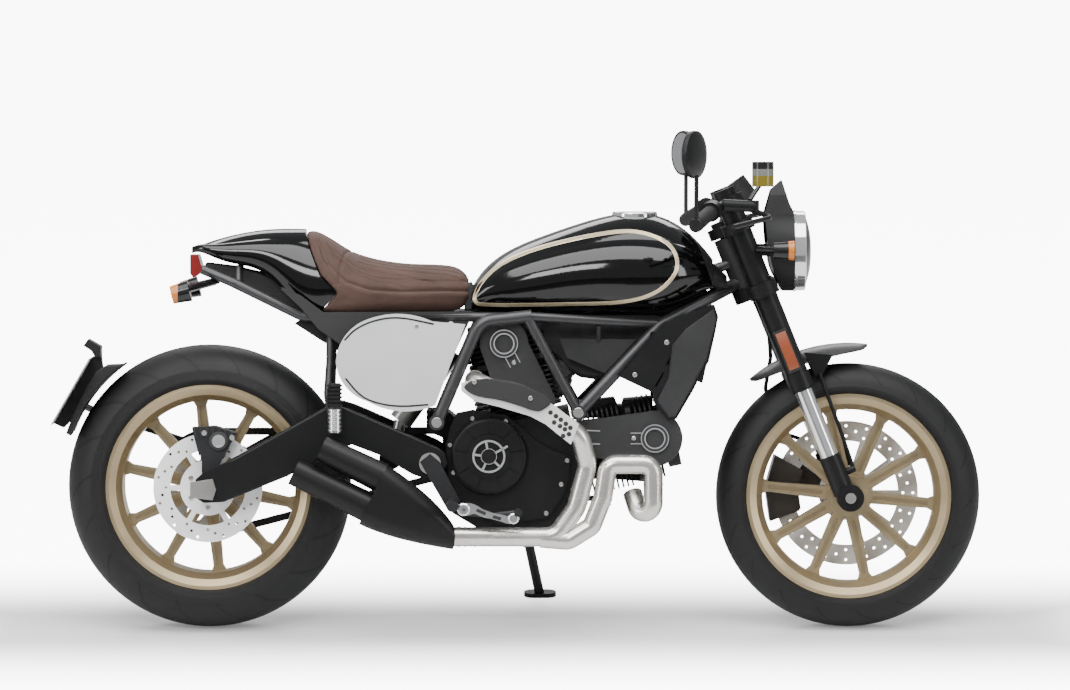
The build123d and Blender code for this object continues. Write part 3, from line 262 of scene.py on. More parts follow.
# Every plain material: its colour, how metallic and how rough it is, its grain, and what else it needs.
# None has the name of a material of the frame: engine_black, black_plastic and dark_metal come from there.
DULL = {"Specular IOR Level": 0.28}
PAINTS = {
    "gold_paint": ((0.40, 0.315, 0.19), 0.72, 0.34, (1500.0, 0.04, 20.0)),
    "satin_black": ((0.055, 0.055, 0.057), 0.5, 0.34, FINE, {"sockets": {"Specular IOR Level": 0.5}}),
    "arm_black": ((0.007, 0.007, 0.0075), 0.1, 0.4, FINE, {"sockets": DULL}),
    "case_black": ((0.008, 0.008, 0.0085), 0.2, 0.46, (1800.0, 0.16, 12.0), {"vary": 0.3, "sockets": DULL}),
    "cover_black": (
        (0.037, 0.037, 0.038), 0.3, 0.44, (1800.0, 0.14, 12.0),
        {"vary": 0.2, "sockets": {"Specular IOR Level": 0.4}},
    ),
    "fin_black": ((0.007, 0.007, 0.0075), 0.2, 0.4, (1200.0, 0.12, 20.0), {"sockets": DULL}),
    "cowl_black": (GLOSS, 0.0, 0.09, SLEEK, {"spread": 0.02, "sockets": {"Specular IOR Level": 0.5}}),
    "brushed_steel": ((0.62, 0.60, 0.57), 1.0, 0.32, (900.0, 0.05, 11.0), {"spread": 0.1}),
    "disc_steel": ((0.93, 0.93, 0.93), 0.0, 0.5, (900.0, 0.05, 11.0), {"spread": 0.1}),
    "header_steel": ((0.76, 0.73, 0.69), 0.9, 0.27, (700.0, 0.04, 16.0), {"vary": 0.14}),
    "shield_steel": ((0.86, 0.85, 0.83), 0.2, 0.36, (900.0, 0.05, 11.0)),
    "bright_chrome": ((0.92, 0.92, 0.94), 0.9, 0.10, (300.0, 0.01, 9.0), {"spread": 0.03}),
    "brushed_plate": ((0.86, 0.86, 0.87), 0.5, 0.38, (800.0, 0.06, 8.0), {"vary": 0.06}),
    "dark_alloy": ((0.03, 0.03, 0.032), 0.6, 0.42, (900.0, 0.1, 14.0)),
    "matt_plastic": (MATT, 0.0, 0.5, (1600.0, 0.2, 10.0), {"sockets": DULL}),
    "grey_shell": ((0.045, 0.045, 0.047), 0.3, 0.34, (1400.0, 0.08, 10.0)),
    "grip_rubber": ((0.008, 0.008, 0.008), 0.0, 0.7, (1300.0, 0.4, 10.0), {"sockets": DULL}),
    "caliper_bronze": ((0.06, 0.052, 0.045), 0.6, 0.4, (900.0, 0.1, 14.0)),
    "tail_red": ((0.20, 0.008, 0.008), 0.0, 0.18, FINE, {"sockets": {"Coat Weight": 0.5}}),
    "white_plate": ((0.7, 0.7, 0.68), 0.0, 0.4, FINE),
    "lamp_lens": (
        (0.012, 0.013, 0.015), 0.0, 0.06, FINE,
        {"spread": 0.02, "sockets": {"Specular IOR Level": 0.35}},
    ),
    "brown_leather": (
        (0.074, 0.044, 0.035), 0.0, 0.64, (420.0, 0.35, 14.0),
        {"vary": 0.3, "sockets": {"Specular IOR Level": 0.16}},
    ),
    "gold_line": ((0.66, 0.55, 0.36), 0.5, 0.3, (1500.0, 0.03, 20.0)),
    "stitch_thread": ((0.17, 0.105, 0.075), 0.0, 0.7, FINE),
    "bright_alloy": ((0.82, 0.82, 0.83), 1.0, 0.2, (700.0, 0.05, 14.0)),
    "reflector": ((0.26, 0.058, 0.019), 0.0, 0.34, (350.0, 0.5, 30.0), {"sockets": {"Coat Weight": 0.3}}),
    "mirror_silver": ((0.9, 0.9, 0.92), 1.0, 0.03, (100.0, 0.0, 5.0), {"spread": 0.01}),
    "satin_shell": ((0.006, 0.006, 0.0065), 0.0, 0.26, FINE, {"sockets": {"Specular IOR Level": 0.4}}),
}

# The two colours of the turn signals
AMBER = (0.62, 0.20, 0.03)
LAMP_BLACK = (0.008, 0.008, 0.0085)


def make_materials():
    """Makes every shared material."""
    grain_group()
    upright_group()
    for name, (colour, metallic, roughness, grain, *more) in PAINTS.items():
        base_material(name, colour, metallic, roughness, grain=grain, **(more[0] if more else {}))
    tank_material()
    reservoir_material()
    split_material("rear_lamp", "x", -0.7535, AMBER, LAMP_BLACK)
    split_material("front_lamp", "x", 0.600, LAMP_BLACK, AMBER)
    tyre_material("rear_tyre_rubber", REAR_AXLE_UPRIGHT, 0.087, 0.318)
    tyre_material("front_tyre_rubber", FRONT_AXLE_UPRIGHT, 0.059, 0.297)


def mm(point):
    """A scene point in the machine's upright frame, in millimetres."""
    return (PLACE.inverted() @ point) * 1000


def upright(x, y, z):
    """A point of the machine's upright frame, given in millimetres, in the scene."""
    return PLACE @ Vector((x / 1000, y / 1000, z / 1000))


def new_object(name, data):
    """A new object in the scene."""
    made = bpy.data.objects.new(name, data)
    bpy.context.scene.collection.objects.link(made)
    return made


def shade_smooth(mesh):
    """Marks every face of a mesh as smooth."""
    mesh.polygons.foreach_set("use_smooth", [True] * len(mesh.polygons))


def surface_tree(mesh):
    """A mesh in a form that rays can be cast at."""
    return BVHTree.FromPolygons([v.co for v in mesh.vertices], [p.vertices for p in mesh.polygons])


def evaluated_mesh(thing):
    """The mesh that an object's modifiers make of it."""
    graph = bpy.context.evaluated_depsgraph_get()
    return bpy.data.meshes.new_from_object(thing.evaluated_get(graph), depsgraph=graph)


def add_piece(name, mesh_data, look, body):
    """Makes an object from a bmesh in scene metres. Its look is a material made here or the frame's own."""
    mesh = bpy.data.meshes.new(name)
    bmesh.ops.remove_doubles(mesh_data, verts=mesh_data.verts, dist=1e-6)
    bmesh.ops.recalc_face_normals(mesh_data, faces=mesh_data.faces)
    mesh_data.to_mesh(mesh)
    mesh_data.free()
    shade_smooth(mesh)
    mesh.set_sharp_from_angle(angle=SHARP_ANGLE)
    made = new_object(name, mesh)
    mesh.materials.append(bpy.data.materials[look])
    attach(made, body)
    return made


def basis(direction):
    """Two unit vectors square to a direction."""
    side_way = direction.orthogonal().normalized()
    return side_way, direction.cross(side_way).normalized()


def fork_line():
    """The way up the fork, the way forward square to it, and the foot of its line, in upright millimetres."""
    up = PLACE.to_3x3().inverted() @ Vector(joint("steering_turn")["axis"])
    up = -up if up.z < 0 else up
    forward = Vector((up.z, 0, -up.x))
    return up, forward, FRONT_AXLE_UPRIGHT * 1000 - forward * FORK_SETBACK


def loft(target, rows, around=True, ends=True):
    """Joins rows of points into faces: closed round each row or open, with or without its two ends."""
    count = len(rows[0])
    for row, following in zip(rows, rows[1:]):
        for step in range(count if around else count - 1):
            after = (step + 1) % count
            target.faces.new((row[step], row[after], following[after], following[step]))
    if ends:
        target.faces.new(list(reversed(rows[0])))
        target.faces.new(rows[-1])


def lathe(target, origin, axis, profile, steps):
    """Turns a profile of (distance along the axis, radius) round an axis, in upright millimetres."""
    axis = Vector(axis).normalized()
    first, second = basis(axis)
    rings = []
    for step in range(steps):
        turn = math.tau * step / steps
        out = first * math.cos(turn) + second * math.sin(turn)
        points = [Vector(origin) + axis * along + out * radius for along, radius in profile]
        rings.append([target.verts.new(upright(*point)) for point in points])
    loft(target, rings + rings[:1], around=False, ends=False)


def tube(target, path, radius, steps=12):
    """A round bar along points of the upright frame, in millimetres."""
    points = [Vector(point) for point in path]
    rings = []
    side_way = None
    for index, point in enumerate(points):
        before = points[max(index - 1, 0)]
        after = points[min(index + 1, len(points) - 1)]
        along = (after - before).normalized()
        if side_way is None:
            side_way = basis(along)[0]
        side_way = (side_way - along * side_way.dot(along)).normalized()
        up = along.cross(side_way)
        ring = []
        for step in range(steps):
            turn = math.tau * step / steps
            place = point + (side_way * math.cos(turn) + up * math.sin(turn)) * radius
            ring.append(target.verts.new(upright(*place)))
        rings.append(ring)
    loft(target, rings)


def plate(target, outline, y_from, y_to, bevel):
    """A flat plate with an outline in X and Z between two values of Y, its outer edge bevelled."""
    middle_x = sum(x for x, z in outline) / len(outline)
    middle_z = sum(z for x, z in outline) / len(outline)
    rings = []
    for y, inset in ((y_from, 0.0), (y_to - math.copysign(bevel, y_to - y_from), 0.0), (y_to, bevel)):
        ring = []
        for x, z in outline:
            away = Vector((x - middle_x, z - middle_z))
            scale = 1 - inset / max(away.length, inset + 1)
            ring.append(target.verts.new(upright(middle_x + away.x * scale, y, middle_z + away.y * scale)))
        rings.append(ring)
    loft(target, rings)


def plates(target, outline, y_from, y_to, bevel):
    """The same plate on both sides of the machine."""
    for hand in HANDS:
        plate(target, outline, y_from * hand, y_to * hand, bevel)


def band(target, path, width, y_from, y_to):
    """A narrow raised band that follows points in X and Z, between two values of Y."""
    left, right = [], []
    for index, (x, z) in enumerate(path):
        before = path[max(index - 1, 0)]
        after = path[min(index + 1, len(path) - 1)]
        along = Vector((after[0] - before[0], after[1] - before[1])).normalized()
        out = Vector((-along.y, along.x)) * width / 2
        left.append((x + out.x, z + out.y))
        right.append((x - out.x, z - out.y))
    for (near_left, near_right), (far_left, far_right) in zip(zip(left, right), zip(left[1:], right[1:])):
        corners = (near_left, near_right, far_right, far_left)
        low = [target.verts.new(upright(x, y_from, z)) for x, z in corners]
        high = [target.verts.new(upright(x, y_to, z)) for x, z in corners]
        target.faces.new(high)
        for first, second in ((0, 1), (2, 3)):
            target.faces.new((low[first], low[second], high[second], high[first]))
    for index, turn in ((0, 1), (-1, -1)):
        corners = [left[index], right[index]][::turn]
        low = [target.verts.new(upright(x, y_from, z)) for x, z in corners]
        high = [target.verts.new(upright(x, y_to, z)) for x, z in corners]
        target.faces.new((low[0], low[1], high[1], high[0]))


def screw(target, origin, axis, radius, tall):
    """A cap screw with a socket, standing on a point with its head along an axis."""
    lathe(target, origin, axis, (
        (0.0, radius), (tall * 0.75, radius), (tall, radius * 0.82), (tall, radius * 0.5),
        (tall * 0.35, radius * 0.45), (tall * 0.35, 0.001),
    ), 16)


def along_path(points, spacing):
    """The same path with points about a spacing apart."""
    out = []
    for (x0, z0), (x1, z1) in zip(points, points[1:]):
        steps = max(1, round(math.hypot(x1 - x0, z1 - z0) / spacing))
        out += [(x0 + (x1 - x0) * step / steps, z0 + (z1 - z0) * step / steps) for step in range(steps)]
    return out + [points[-1]]


def rounded(points, passes=2, closed=False):
    """Cuts the corners of a path, so that it runs in smooth curves."""
    for _ in range(passes):
        out = [] if closed else [points[0]]
        following = points[1:] + points[:1] if closed else points[1:]
        for (x0, z0), (x1, z1) in zip(points, following):
            out.append((x0 * 0.75 + x1 * 0.25, z0 * 0.75 + z1 * 0.25))
            out.append((x0 * 0.25 + x1 * 0.75, z0 * 0.25 + z1 * 0.75))
        points = out if closed else out + [points[-1]]
    return points


def surface_hit(tree, x, z, hand):
    """The outermost point of a surface at an X and Z, on one side, with its normal."""
    start = upright(x, 400 * hand, z)
    way = (upright(x, 0, z) - start).normalized()
    return tree.ray_cast(start, way)[:2]


def stitch_nodes():
    """Geometry Nodes: short thread stitches at even steps along curves."""
    group = new_group(
        "stitch_maker",
        (
            ("Geometry", "NodeSocketGeometry", None), ("Step", "NodeSocketFloat", 0.0048),
            ("Length", "NodeSocketFloat", 0.0032), ("Thickness", "NodeSocketFloat", 0.00055),
        ),
        (("Geometry", "NodeSocketGeometry"),), "GeometryNodeTree",
    )
    g = Graph(group)
    entry = g.node("NodeGroupInput").outputs
    keep = g.node("GeometryNodeCaptureAttribute")
    keep.capture_items.new("VECTOR", "Tangent")
    g.feed(keep, {"Geometry": entry["Geometry"], 1: g.node("GeometryNodeInputTangent").outputs[0]})
    spread = g.node("GeometryNodeCurveToPoints", mode="LENGTH", inputs={
        "Curve": keep.outputs["Geometry"], "Length": entry["Step"],
    })
    thread = g.node("GeometryNodeMeshCylinder", inputs={
        "Vertices": 6, "Depth": entry["Length"], "Radius": entry["Thickness"],
    })
    turn = g.node("FunctionNodeAlignRotationToVector", axis="Z", inputs={"Vector": keep.outputs[1]})
    place = g.node("GeometryNodeInstanceOnPoints", inputs={
        "Points": spread.outputs["Points"], "Instance": thread.outputs["Mesh"], "Rotation": turn.outputs[0],
    })
    real = g.node("GeometryNodeRealizeInstances", inputs={0: place.outputs[0]})
    paint = g.node("GeometryNodeSetMaterial", inputs={
        "Material": bpy.data.materials["stitch_thread"], "Geometry": real.outputs[0],
    })
    g.node("NodeGroupOutput", inputs={0: paint.outputs[0]})
    return group


# How far out the fork's legs stand, and how far the axle stands before their line
FORK_Y, FORK_SETBACK = 100, 8.4

# Places on the engine, in X and Z of the upright frame, and the faces that trims lie on, in Y
CLUTCH = (-65.0, 391.0)
CLUTCH_FACE = -142.0
PLATE_FACE = -116.0
BELT_FACE = -125.0
CAM_FRONT = (305.0, 430.3)
CAM_REAR = (-31.3, 642.0)
COVER_BOLTS = [
    (-101.9, 474.4), (-27.3, 467.7), (-151.9, 415.4), (-144.1, 354.2), (-1.6, 251.7), (62.8, 262.8),
    (96.1, 327.4), (109.4, 380.8),
]
# Holes of the heat shield's cover, in X and Z: each is drawn as a flat black disc, painted shade standing in
# for the open hole
HEAT_HOLE_SHADE = [
    (72, 492), (84, 484), (95, 476), (80, 470), (93, 462), (104, 455), (106, 467), (116, 458), (113, 444),
    (100, 440),
]

# The nodes that each material goes on
NODES_BY_LOOK = {
    "rear_tyre_rubber": "rear_tyre",
    "front_tyre_rubber": "front_tyre",
    "gold_paint": "rear_wheel front_wheel",
    "disc_steel": "rear_disc front_disc",
    "brushed_steel": "rear_sprocket chassis_bolts rear_axle_set front_sprocket front_axle_set rear_shock",
    "dark_alloy": "chain oil_cooler rear_caliper foot_pegs foot_levers",
    "arm_black": "swinging_arm silencer fork_tubes fork_feet handlebars bar_controls side_stand",
    "case_black": "engine_cases side_covers sprocket_cover front_shrouds fork_yokes",
    "fin_black": "cylinders",
    "cover_black": "belt_covers battery_box",
    "satin_black": "frame subframe stand_bracket",
    "header_steel": "exhaust_pipes",
    "shield_steel": "heat_shield",
    "tank_paint": "fuel_tank",
    "bright_chrome": "fuel_cap stanchions",
    "brown_leather": "seat",
    "cowl_black": "tail_cowl",
    "tail_red": "tail_light",
    "matt_plastic": "undertray plate_holder flyscreen mirrors instrument tank_trim",
    "brushed_plate": "side_plates",
    "white_plate": "number_plate",
    "rear_lamp": "rear_signals",
    "grey_shell": "front_mudguard",
    "satin_shell": "headlight",
    "lamp_lens": "headlight_lens",
    "grip_rubber": "grips front_hose",
    "reservoir_shell": "fluid_reservoir",
    "front_lamp": "front_signals",
    "caliper_bronze": "front_caliper",
}

# The middle of the tank's gold line, and the seams of the seat, in X and Z of the upright frame
STRIPE = [
    (-85, 726), (80, 729), (200, 731), (268, 740), (318, 761), (350, 795), (357, 824), (345, 856),
    (318, 876), (275, 890), (235, 893), (170, 884), (100, 869), (30, 850), (-40, 820), (-82, 780),
    (-97, 750), (-97, 735),
]
SEAT_SEAMS = {
    "lower": [(-449, 878), (-428, 824), (-385, 780), (-330, 762), (-262, 757), (-170, 759), (-112, 757)],
    "upper": [(-440, 884), (-408, 836), (-362, 802), (-308, 785), (-214, 781), (-114, 779)],
}
SEAT_PARTING = [(-474, 884), (-464, 852), (-441, 794), (-402, 754), (-441, 712)]


class StageSettings(bpy.types.PropertyGroup):
    """Sizes of the studio and of the camera's place."""

    floor_size: bpy.props.FloatProperty(name="Floor", default=30.0)
    light_power: bpy.props.FloatProperty(name="Light", default=330.0)
    paper_glow: bpy.props.FloatProperty(name="Paper glow", default=9.0)
    sky: bpy.props.FloatProperty(name="Sky", default=0.42)
    camera_x: bpy.props.FloatProperty(name="Camera forward", default=0.02025)
    camera_distance: bpy.props.FloatProperty(name="Camera distance", default=12.5)
    camera_height: bpy.props.FloatProperty(name="Camera height", default=1.118)
    aim_x: bpy.props.FloatProperty(name="Aim forward", default=0.038)
    aim_height: bpy.props.FloatProperty(name="Aim height", default=0.634)
    lens: bpy.props.FloatProperty(name="Lens", default=187.0)
    stripe_width: bpy.props.FloatProperty(name="Tank line width", default=8.5)
    seat_swell: bpy.props.FloatProperty(name="Seat swell", default=0.004)


class RACER_OT_finish(bpy.types.Operator):
    """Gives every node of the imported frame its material."""

    bl_idname = "racer.finish"
    bl_label = "Finish the Frame"

    def execute(self, context):
        make_materials()
        for look, names in NODES_BY_LOOK.items():
            for name in names.split():
                for slot in frame["nodes"][name].material_slots:
                    slot.material = bpy.data.materials[look]
        return {"FINISHED"}


class RACER_OT_tank(bpy.types.Operator):
    """The gold line round each side of the fuel tank, painted on as a thin raised band."""

    bl_idname = "racer.tank"
    bl_label = "Tank Line"

    def execute(self, context):
        tree = surface_tree(frame["nodes"]["fuel_tank"].data)
        loop = rounded(STRIPE, 3, closed=True)
        loop = along_path(loop + loop[:1], 6.0)[:-1]
        half = context.scene.racer_stage.stripe_width / 2
        for hand, side in ((-1, "right"), (1, "left")):
            built = bmesh.new()
            rows = []
            for index, (x, z) in enumerate(loop):
                before, after = loop[index - 1], loop[(index + 1) % len(loop)]
                along = Vector((after[0] - before[0], after[1] - before[1])).normalized()
                row = []
                for across, lift in ((-half, 0.0), (-half + 0.6, 0.5), (half - 0.6, 0.5), (half, 0.0)):
                    place, normal = surface_hit(tree, x - along.y * across, z + along.x * across, hand)
                    if place is None:
                        raise RuntimeError(f"the tank line misses the tank at {x:.0f}, {z:.0f}")
                    row.append(built.verts.new(place + normal * (lift + 0.1) / 1000))
                rows.append(row)
            loft(built, rows + rows[:1], around=False, ends=False)
            add_piece(f"tank_line_{side}", built, "gold_line", "chassis")
        return {"FINISHED"}


class RACER_OT_seat(bpy.types.Operator):
    """The leather seat: foam pressed full under its cover, two seams each side and sewn channels on top."""

    bl_idname = "racer.seat"
    bl_label = "Leather Seat"
    CHANNEL_PITCH = 17.0
    BACK, FRONT = -362, -126
    BASE, NOSE = 735, -111
    CROSS_SEAM = -372

    def execute(self, context):
        seat = new_object("leather_seat", frame["nodes"]["seat"].data.copy())
        seat.data.materials.clear()
        remesh = seat.modifiers.new("even", "REMESH")
        remesh.mode = "VOXEL"
        remesh.voxel_size = 0.0045
        self.settle(seat, remesh)
        begin = [vertex.co.copy() for vertex in seat.data.vertices]
        pinned = seat.vertex_groups.new(name="base")
        for vertex in seat.data.vertices:
            hold = max(0.0, min(1.0, (self.BASE - mm(vertex.co).z) / 20))
            pinned.add([vertex.index], hold, "REPLACE")
        cloth = seat.modifiers.new("fill", "CLOTH")
        for key, value in (
            ("quality", 5), ("mass", 0.35), ("tension_stiffness", 18), ("compression_stiffness", 18),
            ("bending_stiffness", 0.6), ("use_pressure", True), ("uniform_pressure_force", 4.0),
            ("vertex_group_mass", "base"),
        ):
            setattr(cloth.settings, key, value)
        cloth.settings.effector_weights.gravity = 0.0
        for step in range(1, 15):
            context.scene.frame_set(step)
        self.settle(seat, cloth)
        context.scene.frame_set(1)
        cap = context.scene.racer_stage.seat_swell
        for vertex, start in zip(seat.data.vertices, begin):
            shift = vertex.co - start
            place = mm(start)
            edge = min(abs(place.x - self.NOSE) / 25, 1.0)
            limit = cap * edge * max(0.15, min(1.0, self.from_line(place, SEAT_PARTING) / 30))
            if shift.length > limit:
                shift *= limit / shift.length
            vertex.co = start + shift
        split = seat.modifiers.new("fine", "SUBSURF")
        split.levels = split.render_levels = 1
        self.settle(seat, split)
        self.sew(seat)
        shade_smooth(seat.data)
        seat.data.materials.append(bpy.data.materials["brown_leather"])
        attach(seat, "chassis")
        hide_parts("seat")
        self.thread(seat)
        return {"FINISHED"}

    def settle(self, thing, modifier):
        """Applies one modifier by turning the evaluated mesh into the object's own."""
        done = evaluated_mesh(thing)
        thing.modifiers.remove(modifier)
        thing.data = done

    def from_line(self, place, line):
        """Distance in X and Z from a point to a path."""
        best = 1e9
        for (x0, z0), (x1, z1) in zip(line, line[1:]):
            run = Vector((x1 - x0, z1 - z0))
            off = Vector((place.x - x0, place.z - z0))
            share = max(0.0, min(1.0, off.dot(run) / run.length_squared))
            best = min(best, (off - run * share).length)
        return best

    def bell(self, gap, width):
        """One at no gap, falling away to nothing over a width."""
        return math.exp(-((gap / width) ** 2))

    def sew(self, seat):
        """Presses the seams and the sewn channels into the cover."""
        turned = PLACE.to_3x3().inverted()
        normals = [turned @ vertex.normal for vertex in seat.data.vertices]
        for vertex, normal in zip(seat.data.vertices, normals):
            place = mm(vertex.co)
            depth = 0.0
            if abs(place.y) > 55 and place.z > 740:
                for name, deep in (("lower", 2.6), ("upper", 1.6)):
                    gap = self.from_line(place, SEAT_SEAMS[name])
                    depth += deep * self.bell(gap, 3.2) - 1.1 * self.bell(gap - 9, 6.0)
            if normal.z > 0.25 and self.BACK < place.x < self.FRONT:
                fade = min(1.0, (place.x - self.BACK) / 14, (self.FRONT - place.x) / 14)
                fade *= min(1.0, (normal.z - 0.25) / 0.3)
                across = (place.y / self.CHANNEL_PITCH) % 1.0
                across = min(across, 1 - across)
                depth += 2.4 * fade * (self.bell(across, 0.11) - 0.28)
            if normal.z > 0.2:
                gap = abs(place.x - self.CROSS_SEAM + abs(place.y) * 0.25)
                depth += 2.4 * self.bell(gap, 3.4)
            if depth:
                vertex.co -= (PLACE.to_3x3() @ normal) * depth / 1000

    def thread(self, seat):
        """Rows of stitches beside the two side seams, spread by Geometry Nodes along curves on the cover."""
        tree = surface_tree(seat.data)
        curve = bpy.data.curves.new("stitch_rows", "CURVE")
        curve.dimensions = "3D"
        for hand in HANDS:
            for name, drop in (("lower", 4.5), ("upper", -4.5)):
                row = []
                for x, z in along_path(rounded(SEAT_SEAMS[name], 2), 5.0):
                    place, normal = surface_hit(tree, x, z - drop, hand)
                    if place is not None:
                        row.append(place + normal * 0.0003)
                spline = curve.splines.new("POLY")
                spline.points.add(len(row) - 1)
                for point, place in zip(spline.points, row):
                    point.co = (*place, 1.0)
        rows = new_object("stitch_rows", curve)
        rows.modifiers.new("stitches", "NODES").node_group = stitch_nodes()
        mesh = evaluated_mesh(rows)
        bpy.data.objects.remove(rows)
        shade_smooth(mesh)
        piece = new_object("seat_stitches", mesh)
        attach(piece, "chassis")


class RACER_OT_covers(bpy.types.Operator):
    """Bright rings, pills and lines on the engine's covers, and every cover screw."""

    bl_idname = "racer.covers"
    bl_label = "Cover Trims"

    def execute(self, context):
        built = bmesh.new()
        face = CLUTCH_FACE
        x, z = CLUTCH
        lathe(built, (x, face, z), RIGHT, ((-0.5, 31.8), (1.2, 32.3), (1.2, 36.8), (-0.5, 37.2)), 64)
        for step in range(5):
            turn = math.radians(29 + 72 * step)
            reach = 48 if step == 0 else 33
            start = (x + 17 * math.cos(turn), z + 17 * math.sin(turn))
            end = (x + reach * math.cos(turn), z + reach * math.sin(turn))
            band(built, [start, end], 5.0, face, face - 1.2)
        lathe(built, (x, face, z), RIGHT, ((-0.5, 16.2), (1.0, 16.6), (1.0, 17.8), (-0.5, 18.2)), 48)
        for (x, z), turn in ((CAM_FRONT, 180.0), (CAM_REAR, 298.0)):
            face = BELT_FACE - 5
            for inner, outer in ((20.6, 23.6), (29.2, 31.4)):
                profile = ((-1.5, inner - 0.3), (0.8, inner), (0.8, outer), (-1.5, outer + 0.3))
                lathe(built, (x, face, z), RIGHT, profile, 64)
            way = Vector((math.cos(math.radians(turn)), math.sin(math.radians(turn))))
            across = Vector((-way.y, way.x))
            for shift in (-12, 12):
                start = Vector((x, z)) + way * 29 + across * shift
                end = Vector((x, z)) + way * 54 + across * shift
                band(built, [tuple(start), tuple(end)], 2.2, BELT_FACE + 1, BELT_FACE - 1.0)
            spot = Vector((x, z)) + way * 47
            screw(built, (spot.x, BELT_FACE, spot.y), RIGHT, 5.0, 3.0)
        for start, end in (((137, 449), (183, 447)), ((163, 418), (183, 418))):
            band(built, [start, end], 2.4, BELT_FACE + 1, BELT_FACE - 0.9)
        add_piece("cover_trims", built, "bright_chrome", "chassis")
        built = bmesh.new()
        for x, z in COVER_BOLTS:
            screw(built, (x, PLATE_FACE, z), RIGHT, 5.2, 4.0)
        for hand in HANDS:
            for x, z in ((-181, 467), (134, 489)):
                lathe(built, (x, 156.2 * hand, z), (0, hand, 0), (
                    (0, 11.5), (2.2, 11.5), (3.0, 10.6), (3.0, 5.2), (0.6, 5.0), (0.6, 0.001),
                ), 24)
        for x, z in ((-96.5, 560), (27.5, 524)):
            screw(built, (x, -208.2, z), RIGHT, 5.0, 3.0)
        for x, y, z, tall in ((331, 141, 645, 3.0), (260, 141, 573, 3.0), (-225, 150, 682, 2.4)):
            for hand in HANDS:
                screw(built, (x, y * hand, z), (0, hand, 0), 5.4, tall)
        add_piece("case_screws", built, "brushed_steel", "chassis")
        return {"FINISHED"}


class RACER_OT_plates(bpy.types.Operator):
    """Black bands along the side plates' grooves, painted shade inside them; the dark cover on the heat
    shield, its drilled holes drawn as black discs of painted shade; and the pedal blade, its slots drawn as
    black bands of painted shade.
    """

    bl_idname = "racer.plates"
    bl_label = "Plates and Cover"

    def execute(self, context):
        built = bmesh.new()
        # Painted shade: black bands on the bright plates stand in for the shade inside their grooves
        for hand in HANDS:
            for line in (
                [(-386, 650), (-362, 676), (-320, 695), (-266, 703), (-187, 686)],
                [(-384, 566), (-352, 527), (-318, 511), (-266, 502), (-200, 507)],
            ):
                band(built, rounded(line, 3), 4.2, 149.8 * hand, 150.5 * hand)
        add_piece("plate_groove_shade", built, "black_plastic", "chassis")
        built = bmesh.new()
        outline = rounded([
            (-121, 552), (-95, 568), (-40, 566), (5, 558), (60, 530), (78, 516), (60, 500), (42, 492),
            (0, 508), (-40, 520), (-95, 528), (-116, 542),
        ], 2, closed=True)
        plate(built, outline, -200.4, -208.4, 4.0)
        add_piece("heat_cover", built, "engine_black", "chassis")
        built = bmesh.new()
        # Painted shade: flat black discs on the cover stand in for its drilled holes
        for x, z in HEAT_HOLE_SHADE:
            lathe(built, (x, -200.3, z), RIGHT, ((0.0, 5.4), (0.7, 5.2), (0.7, 0.001)), 16)
        add_piece("heat_hole_shade", built, "black_plastic", "chassis")
        built = bmesh.new()
        edge = rounded([
            (-133, 282), (-118, 292), (-98, 290), (-70, 272), (-30, 264), (-14, 258), (-6, 250), (-20, 242),
            (-40, 250), (-76, 258), (-100, 268), (-112, 262), (-128, 262),
        ], 2, closed=True)
        plate(built, edge, -180.0, -188.0, 2.5)
        eye = ((0, 15), (10, 14), (12, 11), (12, 5), (8, 5), (8, 0.001))
        lathe(built, (-121, -180, 276), RIGHT, eye, 28)
        lathe(built, (-10, -184, 256), RIGHT, ((0, 12), (12, 12), (14, 9), (14, 0.001)), 24)
        add_piece("pedal_blade", built, "bright_alloy", "chassis")
        built = bmesh.new()
        # Painted shade: black bands on the blade stand in for its open slots
        for start, end in (((-92, 275), (-72, 266)), ((-56, 260), (-38, 255))):
            band(built, [start, end], 7.0, -187.5, -188.4)
        add_piece("pedal_slot_shade", built, "black_plastic", "chassis")
        return {"FINISHED"}


class RACER_OT_pipes(bpy.types.Operator):
    """Clamps, joints and flanges along the header pipes."""

    bl_idname = "racer.pipes"
    bl_label = "Pipe Clamps"

    def execute(self, context):
        built = bmesh.new()
        tail, rear = (-0.97, -0.23, 0.02), (0.26, 0, 0.97)
        for place, way, wide in (
            ((-132, -164.5, 213.6), tail, 7), ((-118, -161.5, 213.2), tail, 3),
            ((-96, -156.5, 212.8), tail, 3), ((139, -148, 312), rear, 3), ((134, -148, 292), rear, 3),
            ((190, -148, 312), (0.15, 0, 0.99), 3), ((186, -148, 290), (0.3, 0, 0.95), 3),
            ((301, -148, 330), (0, 0, 1), 3), ((-96, -120, 560), (0, 1, 0), 9),
        ):
            low, high = -wide / 2, wide / 2
            lathe(built, place, way, ((low, 21.3), (low, 22.5), (high, 22.5), (high, 21.3)), 32)
        add_piece("pipe_joints", built, "header_steel", "chassis")
        return {"FINISHED"}


